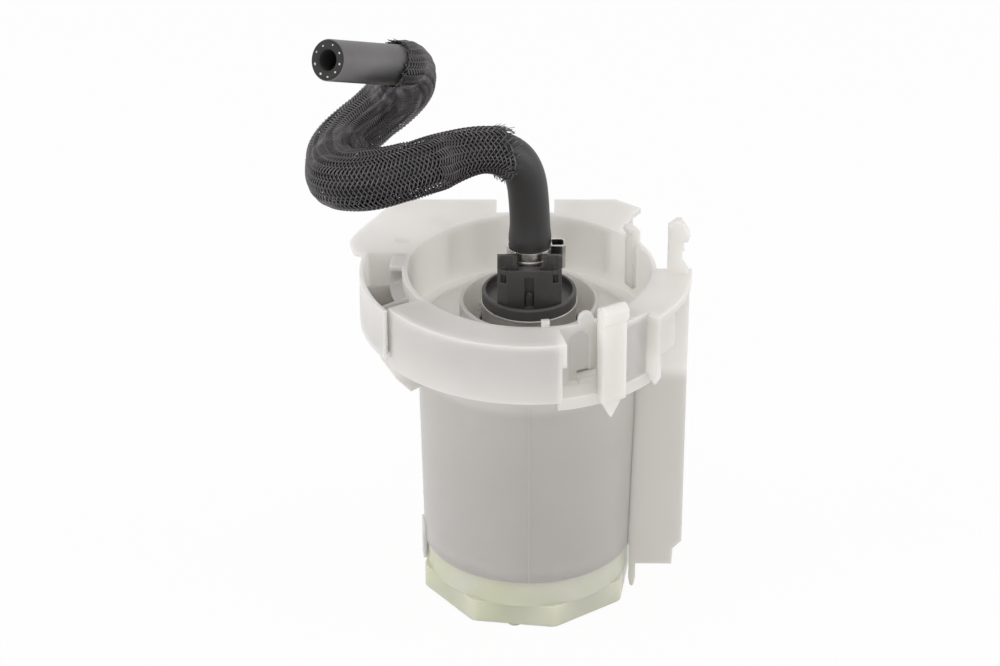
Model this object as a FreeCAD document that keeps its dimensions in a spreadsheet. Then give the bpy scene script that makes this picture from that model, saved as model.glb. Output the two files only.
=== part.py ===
import FreeCAD, Part
import Sketcher
import math
import os

# In tank fuel pump module, built the way the real one comes apart on a bench.
# A moulded swirl pot stands on a strainer foot. Inside it a holder carries the
# electric turbine pump in rubber, and the pump's black end cover feeds a formed
# rubber hose in a braided sleeve. Millimetres, Z up, origin in the middle of
# the face that the module stands on, pot axis on Z, front towards minus Y.

os.makedirs("parts", exist_ok=True)
doc = FreeCAD.newDocument("FuelPumpModule")

# Driving dimensions. Angles are in degrees, counted from X towards Y.
DRIVING = {
    # swirl pot
    "rim_height": 144.0,
    "opening_radius": 48.7,
    "rim_wall": 2.2,
    "step_depth": 27.0,
    "pot_shoulder_radius": 45.3,
    "pot_base_radius": 43.0,
    "pot_wall": 1.8,
    "pot_floor": 2.0,
    "pot_base_height": 22.0,
    "foot_socket_depth": 4.0,
    # collar round the rim
    "collar_radius": 65.0,
    "collar_plate": 2.2,
    "skirt_wall": 1.8,
    "skirt_depth": 25.5,
    "band_start": 211.0,
    "band_sweep": 70.0,
    "bracket_radius": 68.0,
    "bracket_start": 168.0,
    "bracket_depth": 21.0,
    "bracket_shelf_radius": 56.0,
    "right_start": 322.0,
    "right_sweep": 38.0,
    "right_depth": 17.5,
    "web": 1.6,
    # rear flange
    "flange_rear": 62.0,
    "flange_slot_half": 12.0,
    "flange_slot_x": -1.1,
    "flange_right": 46.6,
    "flange_left": 72.7,
    # recess at the front right
    "shelf_radius": 60.0,
    "box_wall_radius": 59.0,
    "post_angle": 301.6,
    "post_width": 10.8,
    "post_root": 1.0,
    "post_radius": 62.8,
    "post_rise": 11.4,
    "post_drop": 30.5,
    "tab_angle": 295.4,
    "tab_width": 6.2,
    "tab_rise": 5.0,
    "window_angle": 292.4,
    "window_width": 8.4,
    "window_web": 0.9,
    "tower_angle": 29.5,
    "tower_width": 6.0,
    "tower_rise": 7.0,
    # side plate on the right
    "plate_reach": 64.4,
    "plate_thick": 2.4,
    "plate_turn": -4.4,
    "plate_offset": -8.8,
    "plate_bottom": 13.0,
    "hook_rise": 23.0,
    "hook_reach": 63.9,
    # strainer foot
    "foot_flats": 82.0,
    "foot_turn": -8.6,
    "foot_wall": 1.8,
    "foot_standoff": 1.0,
    "foot_step_height": 10.6,
    "foot_neck_radius": 42.2,
    "foot_fit": 0.1,
    "foot_stud_radius": 2.8,
    "mesh_thick": 0.6,
    # foot valve
    "valve_hole_radius": 7.0,
    "valve_seat_rise": 0.8,
    "valve_disc_radius": 8.4,
    "valve_disc_thick": 1.2,
    "valve_stem_radius": 1.4,
    "valve_travel": 1.8,
    "running_clearance": 0.04,
    # pump holder
    "holder_radius": 28.0,
    "holder_wall": 1.6,
    "holder_drop": 13.5,
    "cradle_radius": 21.5,
    "cradle_wall": 1.5,
    "cradle_drop": 9.5,
    "cradle_lip": 2.0,
    "isolator_fit": 0.05,
    # pump casing
    "casing_radius": 19.0,
    "casing_wall": 1.0,
    "casing_length": 86.0,
    "casing_top_drop": 13.8,
    "casing_lip": 2.5,
    "casing_bead": 0.4,
    "press_fit_gap": 0.05,
    # turbine stage
    "inlet_cover_height": 6.8,
    "inlet_nipple_radius": 4.5,
    "inlet_bore_radius": 3.0,
    "inlet_offset": 9.0,
    "inlet_nipple_length": 7.0,
    "pump_body_height": 8.0,
    "impeller_radius": 15.0,
    "impeller_thick": 3.5,
    "impeller_gap": 0.15,
    "impeller_rim_gap": 0.2,
    "vane_count": 30.0,
    "vane_depth": 2.4,
    "vane_slot": 1.6,
    # rotor
    "shaft_radius": 2.0,
    "bearing_radius": 4.0,
    "bearing_length": 6.0,
    "core_radius": 12.4,
    "core_length": 26.0,
    "core_slots": 8.0,
    "slot_width": 3.0,
    "slot_depth": 5.6,
    "winding_height": 5.4,
    "commutator_radius": 11.2,
    "commutator_height": 6.5,
    "magnet_thick": 5.0,
    "magnet_length": 38.0,
    "magnet_sweep": 116.0,
    "clip_thick": 0.6,
    # brushes
    "brush_width": 4.4,
    "brush_depth": 5.0,
    "brush_length": 8.0,
    "brush_offset": 8.6,
    "brush_spring_length": 8.0,
    "brush_fit": 0.06,
    # end cover
    "cover_spigot": 19.2,
    "cover_spigot_bore": 15.0,
    "cover_flange_height": 4.8,
    "cover_dish_floor": 1.6,
    "cover_rim_wall": 1.5,
    "seal_groove": 0.9,
    "connector_half": 12.8,
    "connector_front": 13.6,
    "connector_depth": 4.3,
    "connector_sill": 19.6,
    "connector_height": 25.2,
    "connector_wall": 1.2,
    "terminal_offset": 6.9,
    "terminal_thick": 0.8,
    "terminal_width": 4.4,
    # outlet
    "outlet_collar_radius": 5.2,
    "outlet_radius": 3.7,
    "outlet_bore_radius": 2.5,
    "outlet_length": 35.0,
    "valve_chamber_radius": 3.8,
    "poppet_radius": 3.4,
    "spring_wire": 0.3,
    # hose, sleeve and clamp
    "hose_radius": 8.0,
    "hose_bore_radius": 4.0,
    "sleeve_radius": 9.8,
    "sleeve_gap": 0.3,
    "clamp_gap": 0.3,
    "clamp_thick": 0.8,
    "clamp_height": 9.0,
    "clamp_foot": 1.4,
    "clamp_ear_reach": 14.4,
}

sheet = doc.addObject("Spreadsheet::Sheet", "Sizes")
for row, (alias, number) in enumerate(DRIVING.items(), start=1):
    sheet.set(f"A{row}", alias)
    sheet.set(f"B{row}", str(number))
    sheet.setAlias(f"B{row}", alias)
doc.recompute()


# A size is a number together with the sheet expression that gives it, so that
# one formula both draws a shape and binds it to the driving dimensions.
class Size:
    def __init__(self, value, text):
        self.value = float(value)
        self.text = text

    def __add__(self, other):
        other = as_size(other)
        return Size(self.value + other.value, f"({self.text} + {other.text})")

    def __sub__(self, other):
        other = as_size(other)
        return Size(self.value - other.value, f"({self.text} - {other.text})")

    def __mul__(self, other):
        other = as_size(other)
        return Size(self.value * other.value, f"({self.text} * {other.text})")

    def __truediv__(self, other):
        other = as_size(other)
        return Size(self.value / other.value, f"({self.text} / {other.text})")

    def __radd__(self, other):
        return as_size(other) + self

    def __rsub__(self, other):
        return as_size(other) - self

    def __rmul__(self, other):
        return as_size(other) * self

    def __neg__(self):
        return 0.0 - self


def as_size(item):
    return item if isinstance(item, Size) else Size(item, repr(float(item)))


def size(alias):
    return Size(sheet.get(alias), f"Sizes.{alias}")


def cosine(angle):
    angle = as_size(angle)
    return Size(math.cos(math.radians(angle.value)), f"cos({angle.text})")


def sine(angle):
    angle = as_size(angle)
    return Size(math.sin(math.radians(angle.value)), f"sin({angle.text})")


def on_circle(radius, angle):
    return radius * cosine(angle), radius * sine(angle)


def bind(item, path, value):
    item.setExpression(path, as_size(value).text)


def stand(item, x=0.0, y=0.0, z=0.0, turn=0.0):
    bind(item, "Placement.Base.x", x)
    bind(item, "Placement.Base.y", y)
    bind(item, "Placement.Base.z", z)
    item.Placement.Rotation = FreeCAD.Rotation(FreeCAD.Vector(0, 0, 1), as_size(turn).value)
    bind(item, "Placement.Rotation.Angle", turn)
    return item


# Sketch helpers: closed outlines and circles held to the origin by the sheet.
def hold_point(sketch, edge, corner, x, y):
    for kind, axis_line, place in (("DistanceX", -2, x), ("DistanceY", -1, y)):
        place = as_size(place)
        if place.text == "0.0":
            sketch.addConstraint(Sketcher.Constraint("PointOnObject", edge, corner, axis_line))
        else:
            number = sketch.addConstraint(Sketcher.Constraint(kind, -1, 1, edge, corner, place.value))
            sketch.setExpression(f"Constraints[{number}]", place.text)


def draw_outline(sketch, points):
    points = [(as_size(x), as_size(y)) for x, y in points]
    corners = [FreeCAD.Vector(x.value, y.value, 0) for x, y in points]
    first = sketch.GeometryCount
    for index, corner in enumerate(corners):
        following = corners[(index + 1) % len(corners)]
        sketch.addGeometry(Part.LineSegment(corner, following), False)
    for index in range(len(corners)):
        following = (index + 1) % len(corners)
        sketch.addConstraint(Sketcher.Constraint("Coincident", first + index, 2, first + following, 1))
    for index, (x, y) in enumerate(points):
        hold_point(sketch, first + index, 1, x, y)


def draw_circle(sketch, x, y, radius):
    x, y, radius = as_size(x), as_size(y), as_size(radius)
    centre = FreeCAD.Vector(x.value, y.value, 0)
    edge = sketch.addGeometry(Part.Circle(centre, FreeCAD.Vector(0, 0, 1), radius.value), False)
    hold_point(sketch, edge, 3, x, y)
    number = sketch.addConstraint(Sketcher.Constraint("Radius", edge, radius.value))
    sketch.setExpression(f"Constraints[{number}]", radius.text)


# Body helpers: sketches sit on the body's own origin planes.
def new_body(label):
    body = doc.addObject("PartDesign::Body", label)
    body.Label = label
    return body


def sketch_on(body, name, role, offset=None):
    sketch = body.newObject("Sketcher::SketchObject", name)
    plane = [item for item in body.Origin.OriginFeatures if item.Role == role][0]
    sketch.AttachmentSupport = (plane, [""])
    sketch.MapMode = "FlatFace"
    if offset is not None:
        bind(sketch, "AttachmentOffset.Base.z", offset)
    return sketch


def revolve(body, name, points):
    sketch = sketch_on(body, name + "_profile", "XZ_Plane")
    draw_outline(sketch, points)
    feature = body.newObject("PartDesign::Revolution", name)
    feature.Profile = sketch
    feature.ReferenceAxis = (sketch, ["V_Axis"])
    feature.Angle = 360
    sketch.Visibility = False
    return feature


def pad(body, name, low, high, outlines=(), circles=()):
    sketch = sketch_on(body, name + "_outline", "XY_Plane", low)
    for points in outlines:
        draw_outline(sketch, points)
    for x, y, radius in circles:
        draw_circle(sketch, x, y, radius)
    feature = body.newObject("PartDesign::Pad", name)
    feature.Profile = sketch
    bind(feature, "Length", high - low)
    return feature


def pocket(body, name, low, high, outlines=(), circles=()):
    sketch = sketch_on(body, name + "_outline", "XY_Plane", high)
    for points in outlines:
        draw_outline(sketch, points)
    for x, y, radius in circles:
        draw_circle(sketch, x, y, radius)
    feature = body.newObject("PartDesign::Pocket", name)
    feature.Profile = sketch
    bind(feature, "Length", high - low)
    return feature


def polar(body, name, feature, count):
    pattern = body.newObject("PartDesign::PolarPattern", name)
    pattern.Originals = [feature]
    axis = [item for item in body.Origin.OriginFeatures if item.Role == "Z_Axis"][0]
    pattern.Axis = (axis, [""])
    pattern.Angle = 360
    bind(pattern, "Occurrences", count)
    body.Tip = pattern
    return pattern


def box_outline(low_x, high_x, low_y, high_y):
    return [(low_x, low_y), (high_x, low_y), (high_x, high_y), (low_x, high_y)]


# Part helpers for the moulded pot and other pieces made from simple solids.
def cylinder(name, radius, low, high, x=0.0, y=0.0, start=0.0, sweep=360.0):
    item = doc.addObject("Part::Cylinder", name)
    bind(item, "Radius", radius)
    bind(item, "Height", high - low)
    bind(item, "Angle", sweep)
    return stand(item, x, y, low, start)


def block(name, low_x, high_x, low_y, high_y, low_z, high_z, turn=0.0):
    item = doc.addObject("Part::Box", name)
    bind(item, "Length", as_size(high_x) - low_x)
    bind(item, "Width", as_size(high_y) - low_y)
    bind(item, "Height", as_size(high_z) - low_z)
    turn = as_size(turn)
    base_x = low_x * cosine(turn) - low_y * sine(turn)
    base_y = low_x * sine(turn) + low_y * cosine(turn)
    return stand(item, base_x, base_y, low_z, turn)


def cut(name, base, tool):
    item = doc.addObject("Part::Cut", name)
    item.Base = base
    item.Tool = tool
    return item


def fuse(name, pieces):
    # Joined in pairs, then pairs of pairs: sounder than one large union and
    # quicker than a chain.
    count = 0
    while len(pieces) > 1:
        joined = []
        for first, second in zip(pieces[::2], pieces[1::2]):
            count += 1
            item = doc.addObject("Part::Fuse", f"{name}_{count}")
            item.Base = first
            item.Tool = second
            joined.append(item)
        if len(pieces) % 2:
            joined.append(pieces[-1])
        pieces = joined
    return pieces[0]


def ring(name, inner, outer, low, high, start=0.0, sweep=360.0):
    disc = cylinder(name + "_disc", outer, low, high, start=start, sweep=sweep)
    hole = cylinder(name + "_hole", inner, low - 1.0, high + 1.0)
    return cut(name, disc, hole)


def prism(name, points, low, high):
    sketch = doc.addObject("Sketcher::SketchObject", name + "_outline")
    draw_outline(sketch, points)
    bind(sketch, "Placement.Base.z", low)
    item = doc.addObject("Part::Extrusion", name)
    item.Base = sketch
    item.DirMode = "Normal"
    item.Solid = True
    bind(item, "LengthFwd", high - low)
    return item


def upright(name, points, angle, thick, offset=0.0):
    # An outline in radius and height, stood in a plane through the pot axis.
    angle, thick, offset = as_size(angle), as_size(thick), as_size(offset)
    sketch = doc.addObject("Sketcher::SketchObject", name + "_outline")
    draw_outline(sketch, points)
    tip_up = FreeCAD.Rotation(FreeCAD.Vector(1, 0, 0), 90)
    swing = FreeCAD.Rotation(FreeCAD.Vector(0, 0, 1), angle.value)
    sketch.Placement.Rotation = swing.multiply(tip_up)
    shift = offset + thick / 2.0
    bind(sketch, "Placement.Base.x", -(shift * sine(angle)))
    bind(sketch, "Placement.Base.y", shift * cosine(angle))
    item = doc.addObject("Part::Extrusion", name)
    item.Base = sketch
    item.DirMode = "Normal"
    item.Solid = True
    bind(item, "LengthFwd", thick)
    return item


finished = {}


def hand_over(node, item):
    item.Label = node
    finished[node] = item
    return item


# Shared heights and radii, worked out once from the driving dimensions.
rim = size("rim_height")
opening = size("opening_radius")
rim_outer = opening + size("rim_wall")
step = rim - size("step_depth")
floor_low = size("pot_base_height") + size("foot_socket_depth")
floor_top = floor_low + size("pot_floor")
socket_radius = size("pot_base_radius") - size("pot_wall")
collar = size("collar_radius")
plate_low = rim - size("collar_plate")
web = size("web")
casing_top = rim - size("casing_top_drop")
casing_bottom = casing_top - size("casing_length")
casing_bore = size("casing_radius") - size("casing_wall")
inner_fit = casing_bore - size("press_fit_gap")
gap = size("running_clearance")

# Swirl pot. One turned shell carries the collar, brackets, clips and webs, all
# of one moulding.
shell = new_body("Pot_shell")
revolve(shell, "Pot_turning", [
    (0.0, floor_low),
    (socket_radius, floor_low),
    (socket_radius, size("pot_base_height")),
    (size("pot_base_radius"), size("pot_base_height")),
    (size("pot_shoulder_radius"), step),
    (rim_outer, step),
    (rim_outer, rim),
    (opening, rim),
    (opening, step + size("pot_wall")),
    (size("pot_shoulder_radius") - size("pot_wall"), step + size("pot_wall") - 0.4),
    (socket_radius, floor_top),
    (0.0, floor_top),
])
seat_top = floor_top + size("valve_seat_rise")
hole_radius = size("valve_hole_radius")
pad(shell, "Valve_seat", floor_low, seat_top, circles=[(0.0, 0.0, hole_radius + 1.6)])
pocket(shell, "Valve_hole", floor_low, seat_top, circles=[(0.0, 0.0, hole_radius)])

skirt_inner = collar - size("skirt_wall")
band_start = size("band_start")
band_end = band_start + size("band_sweep")
ledge_inner = opening + 0.6
band_low = rim - size("skirt_depth")
pot_pieces = [
    shell,
    ring("Collar_ledge", ledge_inner, collar, plate_low, rim, band_start, size("band_sweep")),
    ring("Collar_skirt", skirt_inner, collar, band_low, rim, band_start, size("band_sweep")),
    ring("Collar_lip", ledge_inner, collar, rim - 10.0, rim, band_end - 0.5, 2.0),
]
for index, angle in enumerate((band_start + 0.8, band_start + 20.0, band_start + 40.0, band_end - 0.8)):
    pot_pieces.append(upright(f"Collar_web_{index}", [
        (ledge_inner, step + 0.4),
        (rim_outer, step + 0.4),
        (collar - 0.6, band_low + 0.6),
        (collar - 0.6, rim - 0.6),
        (ledge_inner, rim - 0.6),
    ], angle, web))

# Bracket on the left: an outer wall, a floor and cross webs make an open box.
bracket = size("bracket_radius")
bracket_inner = bracket - size("skirt_wall")
bracket_low = rim - size("bracket_depth")
bracket_start = size("bracket_start")
bracket_sweep = band_start - bracket_start + 1.6
shelf_inner = rim_outer - 0.6
pot_pieces += [
    ring("Bracket_wall", bracket_inner, bracket, bracket_low, rim, bracket_start, bracket_sweep),
    ring("Bracket_floor", shelf_inner, bracket - 0.6, bracket_low, bracket_low + web, bracket_start, bracket_sweep),
    ring("Bracket_shelf", ledge_inner, size("bracket_shelf_radius"), plate_low, rim, bracket_start, 10.0),
    ring("Bracket_step", shelf_inner, size("bracket_shelf_radius"), rim - 7.0, rim - 5.2, bracket_start, 32.0),
]
for index, angle in enumerate((bracket_start + 14.0, bracket_start + 31.0)):
    pot_pieces.append(upright(f"Bracket_web_{index}", [
        (shelf_inner, bracket_low + 0.6),
        (bracket - 0.6, bracket_low + 0.6),
        (bracket - 0.6, rim - 8.0),
        (shelf_inner, rim - 4.0),
    ], angle, web))
pot_pieces.append(upright("Bracket_gusset", [
    (size("pot_base_radius") + 1.2, bracket_low - 24.5),
    (bracket - 18.0, bracket_low - 26.7),
    (bracket - 12.0, bracket_low - 20.0),
    (bracket - 6.0, bracket_low - 10.0),
    (bracket - 3.0, bracket_low + 0.6),
    (opening + 1.0, bracket_low + 0.6),
    (opening + 1.0, step + 0.6),
    (size("pot_base_radius") + 1.2, step - 1.0),
], bracket_start + 29.0, 2.0))

# Flange behind the pot, cut open for the rods that carry the module.
flange_rear = size("flange_rear")
flange_left = size("flange_left")
flange_plate = prism("Flange_plate", [
    (size("flange_right"), flange_rear - 7.9),
    (size("flange_right") - 10.1, flange_rear),
    (20.7 - flange_left, flange_rear),
    (17.1 - flange_left, flange_rear - 3.0),
    (14.1 - flange_left, flange_rear - 7.4),
    (8.4 - flange_left, flange_rear - 18.4),
    (2.8 - flange_left, flange_rear - 29.3),
    (-flange_left, 24.6),
    (2.0 - flange_left, 15.4),
    (5.3 - flange_left, 13.6),
    (-46.0, 13.6),
    (0.0, 46.0),
    (37.0, 31.0),
    (43.0, 48.6),
], plate_low, rim)
flange_rim = prism("Flange_rim", [
    (size("flange_right") - 3.0, flange_rear - 5.6),
    (size("flange_right") - 10.1, flange_rear),
    (20.7 - flange_left, flange_rear),
    (17.1 - flange_left, flange_rear - 3.0),
    (14.1 - flange_left, flange_rear - 7.4),
    (15.8 - flange_left, flange_rear - 8.2),
    (21.4 - flange_left, flange_rear - 1.8),
    (size("flange_right") - 10.8, flange_rear - 1.8),
    (size("flange_right") - 4.4, flange_rear - 6.8),
], rim - 12.0, rim - 0.6)
flange_pieces = [flange_plate, flange_rim]
for index, angle in enumerate((48.0, 70.0, 112.0, 132.0)):
    flange_pieces.append(upright(f"Flange_web_{index}", [
        (shelf_inner, step + 4.0),
        (rim_outer + 10.0, rim - 14.0),
        (rim_outer + 12.5, rim - 8.0),
        (rim_outer + 12.5, rim - 0.6),
        (shelf_inner, rim - 0.6),
    ], angle, web))
flange_pieces.append(block("Flange_front_wall", 6.0 - flange_left, -48.0, 13.6, 15.4, rim - 33.0, rim - 0.6))
slot_half = size("flange_slot_half")
slot_x = size("flange_slot_x")
flange_cuts = fuse("Flange_cuts", [
    block("Rod_slot", slot_x - slot_half, slot_x + slot_half, rim_outer - 1.0, flange_rear + 1.0, rim - 30.0, rim + 1.0),
    block("Rail_slot", -54.0, -48.6, 23.0, 26.2, rim - 10.0, rim + 1.0),
])
slotted_flange = cut("Slotted_flange", fuse("Flange_parts", flange_pieces), flange_cuts)
mouth = cylinder("Flange_mouth", ledge_inner, step - 1.0, rim + 1.0)
pot_pieces.append(cut("Rear_flange", slotted_flange, mouth))

# Right side: ledge, hanging skirt, side plate with its finger, hooked post.
right_start = size("right_start")
right_end = right_start + size("right_sweep")
lip_low = rim - 3.6
pot_pieces += [
    ring("Right_ledge", ledge_inner, collar, plate_low, rim, right_start, size("right_sweep")),
    ring("Right_lip", skirt_inner, collar, lip_low, rim, right_start, size("right_sweep")),
    ring("Right_skirt", skirt_inner, collar, rim - size("right_depth"), rim, right_start, 9.5),
]
pot_pieces.append(upright("Right_rib", [
    (shelf_inner, step + 1.0),
    (59.0, step - 0.5),
    (collar - 1.8, step - 4.0),
    (collar - 0.3, step - 1.0),
    (collar - 0.3, rim - 0.6),
    (shelf_inner, rim - 0.6),
], right_start, 2.2))
reach = size("plate_reach")
plate_bottom = size("plate_bottom")
pot_pieces.append(upright("Side_plate", [
    (42.5, 21.5),
    (42.5, 6.0),
    (43.1, 2.6),
    (43.9, 1.8),
    (44.7, 2.6),
    (45.3, 6.0),
    (45.3, plate_bottom),
    (reach - 4.2, plate_bottom + 0.6),
    (reach - 3.8, plate_bottom + 8.0),
    (reach - 0.3, plate_bottom + 12.0),
    (reach, plate_low + 0.6),
    (50.4, plate_low + 0.6),
    (50.4, step + 1.0),
    (44.2, step - 1.0),
    (42.0, 24.0),
], size("plate_turn"), size("plate_thick"), size("plate_offset")))
hook_reach = size("hook_reach")
hook_top = rim + size("hook_rise")
pot_pieces.append(upright("Hook_post", [
    (hook_reach - 8.8, rim - 0.6),
    (hook_reach - 0.4, rim - 0.6),
    (hook_reach - 0.4, rim + 0.6),
    (hook_reach - 3.1, rim + 5.0),
    (hook_reach - 3.1, rim + 10.0),
    (hook_reach - 2.2, rim + 10.7),
    (hook_reach - 3.1, rim + 12.6),
    (hook_reach - 3.1, hook_top - 9.2),
    (hook_reach - 1.0, hook_top - 8.8),
    (hook_reach, hook_top - 6.0),
    (hook_reach - 3.6, hook_top),
    (hook_reach - 5.4, hook_top),
    (hook_reach - 8.8, hook_top - 2.6),
], 0.0, 4.4, -2.4))

# Recess at the front right: shelf, boxed wall, tall clip post and rounded tab.
recess_sweep = right_start - band_end + 1.0
box_wall = size("box_wall_radius")
post_angle = size("post_angle")
post_out = size("post_radius")
post_in = box_wall - size("post_root")
pot_pieces += [
    ring("Recess_shelf", 45.0, size("shelf_radius"), step - 1.8, step + 0.4, band_end - 0.5, recess_sweep),
    ring("Recess_hem", size("shelf_radius") - 1.6, size("shelf_radius"), step - 4.6, step, band_end - 0.5, recess_sweep),
    ring("Box_wall", box_wall - web, box_wall, step - 0.6, rim, post_angle + 2.0, right_start - post_angle - 2.0),
    ring("Box_top", ledge_inner, box_wall, plate_low, rim, post_angle + 2.0, right_start - post_angle - 2.0),
]
pot_pieces.append(upright("Clip_post", [
    (post_in, rim - size("post_drop")),
    (post_out, rim - size("post_drop")),
    (post_out, rim + 4.0),
    (post_out + 1.4, rim + 5.4),
    (post_out + 1.4, rim + 9.4),
    (post_out - 1.2, rim + size("post_rise")),
    (post_out - 2.2, rim + size("post_rise")),
    (post_out - 2.6, rim + size("post_rise") - 1.4),
    (post_in, rim + size("post_rise") - 1.4),
], post_angle, size("post_width")))
tangent = post_angle - 270.0
tip = rim - size("post_drop")
pot_pieces.append(upright("Clip_point", [
    (-6.4, tip + 3.0),
    (-0.6, tip - 7.6),
    (3.2, tip - 1.6),
    (4.4, tip + 3.0),
], tangent, 2.4, -(post_out - 2.2)))
tab_half = size("tab_width") / 2.0
tab_top = rim + size("tab_rise")
tab_turn = size("tab_angle") - 270.0
pot_pieces.append(upright("Round_tab", [
    (-tab_half, rim - 4.0),
    (tab_half, rim - 4.0),
    (tab_half, tab_top - 2.6),
    (tab_half * 0.7, tab_top - 0.8),
    (tab_half * 0.25, tab_top),
    (-(tab_half * 0.25), tab_top),
    (-(tab_half * 0.7), tab_top - 0.8),
    (-tab_half, tab_top - 2.6),
], tab_turn, 1.8, -(rim_outer - 0.9)))

# Small clips, the mould line and the legs that grip the strainer foot.
tower_rise = rim + size("tower_rise")
pot_pieces.append(upright("Clip_tower", [
    (opening - 1.8, rim - 20.0),
    (rim_outer - 0.6, rim - 20.0),
    (rim_outer - 0.6, tower_rise - 2.0),
    (rim_outer - 1.8, tower_rise),
    (opening - 2.4, tower_rise),
    (opening - 3.0, tower_rise - 1.6),
    (opening - 1.8, tower_rise - 3.2),
], size("tower_angle"), size("tower_width")))
pot_pieces.append(upright("Rim_hook", [
    (opening - 1.0, rim - 3.0),
    (opening + 0.8, rim - 3.0),
    (opening + 0.8, rim + 1.4),
    (opening, rim + 2.4),
    (opening - 1.6, rim + 2.4),
    (opening - 1.6, rim + 1.2),
], 277.0, 3.2))
pot_pieces.append(upright("Mould_line", [
    (size("pot_base_radius") - 0.6, 22.6),
    (size("pot_base_radius") + 0.25, 22.6),
    (size("pot_shoulder_radius") + 0.2, step - 1.0),
    (size("pot_shoulder_radius") - 0.8, step - 1.0),
], 270.0, 0.6))
for index, angle in enumerate((65.0, 187.0)):
    pot_pieces.append(upright(f"Grip_leg_{index}", [
        (42.5, 12.6),
        (44.0, 12.6),
        (44.0, 30.0),
        (42.5, 30.0),
    ], angle, 6.0))

# Spokes and hub that guide the stem of the foot valve.
valve_bore = size("valve_stem_radius") + gap
hub_low = floor_low
hub_top = floor_top - 0.4
pot_pieces.append(cylinder("Valve_hub", valve_bore + 1.6, hub_low, hub_top))
for index in range(3):
    pot_pieces.append(block(f"Valve_spoke_{index}", 1.0, hole_radius + 0.5, -0.8, 0.8, hub_low, hub_top, 90.0 + 120.0 * index))

# Openings: the arched window, the notch under it and the bore of the hub.
window_half = size("window_width") / 2.0
window_turn = size("window_angle") - 270.0
window_cut = upright("Arch_window", [
    (-window_half, step + 2.4),
    (window_half, step + 2.4),
    (window_half, rim - 7.0),
    (window_half * 0.7, rim - 4.4),
    (window_half * 0.25, rim - 3.2),
    (-(window_half * 0.25), rim - 3.2),
    (-(window_half * 0.7), rim - 4.4),
    (-window_half, rim - 7.0),
], window_turn, (size("rim_wall") - size("window_web")) * 2.0, -rim_outer)
notch_cut = upright("Low_notch", [
    (-4.0, step + 1.0),
    (5.0, step + 1.0),
    (5.0, step + 6.0),
    (-4.0, step + 6.0),
], window_turn + 4.0, 6.0, -rim_outer)
stem_bore = cylinder("Valve_stem_bore", valve_bore, hub_low - 1.0, hub_top + 1.0)
pot_cuts = fuse("Pot_cuts", [window_cut, notch_cut, stem_bore])
hand_over("swirl_pot", cut("Swirl_pot", fuse("Pot_moulding", pot_pieces), pot_cuts))
doc.recompute()
print("swirl pot", round(finished["swirl_pot"].Shape.Volume / 1000.0, 2), "cc")

# Strainer foot: an eight sided tray with rounded corners, a round neck, and a
# spigot that sits in the pot's socket. The sole has eight windows.
standoff = size("foot_standoff")
foot_step = size("foot_step_height")
neck_top = size("pot_base_height")
spigot_radius = socket_radius - size("foot_fit")
spigot_top = floor_low
half_flats = size("foot_flats") / 2.0
tray_corner = half_flats / cosine(22.5)
foot_turn = size("foot_turn")
tray_points = [on_circle(tray_corner, foot_turn + 22.5 + 45.0 * index) for index in range(8)]
cavity_radius = half_flats - size("foot_wall")

foot = new_body("Strainer_foot")
tray = pad(foot, "Tray", standoff, foot_step, outlines=[tray_points])
doc.recompute()
upright_edges = []
for number, edge in enumerate(tray.Shape.Edges, start=1):
    if abs(edge.Vertexes[0].Z - edge.Vertexes[-1].Z) > 1.0:
        upright_edges.append(f"Edge{number}")
corners = foot.newObject("PartDesign::Fillet", "Tray_corners")
corners.Base = (tray, upright_edges)
corners.Radius = 5.0
pad(foot, "Neck", foot_step, neck_top, circles=[(0.0, 0.0, size("foot_neck_radius"))])
pad(foot, "Spigot", neck_top, spigot_top, circles=[(0.0, 0.0, spigot_radius)])
sole_top = standoff + 2.0
pocket(foot, "Tray_hollow", sole_top, spigot_top, circles=[(0.0, 0.0, cavity_radius)])
pad(foot, "Foot_boss", as_size(0.0), sole_top, circles=[(0.0, 0.0, 6.0)])
stud_turn = foot_turn - 90.0
stud = pad(foot, "Foot_stud", as_size(0.0), sole_top, circles=[
    (*on_circle(38.0, stud_turn), size("foot_stud_radius")),
])
polar(foot, "Foot_studs", stud, as_size(4.0))
window = pocket(foot, "Sole_window", standoff, sole_top, outlines=[[
    on_circle(10.0, foot_turn + 35.0),
    on_circle(10.0, foot_turn + 55.0),
    on_circle(34.0, foot_turn + 63.0),
    on_circle(35.2, foot_turn + 45.0),
    on_circle(34.0, foot_turn + 27.0),
]])
polar(foot, "Sole_windows", window, as_size(8.0))
hand_over("strainer_foot", foot)

# Strainer mesh: a thin disc lying on the sole, welded round the boss.
mesh = new_body("Strainer_mesh")
mesh_top = sole_top + size("mesh_thick")
pad(mesh, "Mesh_disc", sole_top, mesh_top, circles=[
    (0.0, 0.0, cavity_radius - 0.1),
    (0.0, 0.0, 5.0),
])
hand_over("strainer_mesh", mesh)

# Foot valve: a soft umbrella on the seat, its stem through the hub and a barb
# under the hub that lets it rise by the valve's travel.
stem = size("valve_stem_radius")
disc_top = seat_top + size("valve_disc_thick")
barb_top = hub_low - size("valve_travel")
umbrella = new_body("Foot_valve")
revolve(umbrella, "Umbrella", [
    (0.0, barb_top - 2.6),
    (stem * 0.6, barb_top - 2.6),
    (stem + 0.8, barb_top - 0.4),
    (stem + 0.8, barb_top),
    (stem, barb_top),
    (stem, seat_top - 0.3),
    (hole_radius - 0.6, seat_top),
    (size("valve_disc_radius"), seat_top),
    (size("valve_disc_radius"), seat_top + 0.5),
    (3.0, disc_top),
    (0.0, disc_top),
])
hand_over("foot_valve", umbrella)

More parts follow.
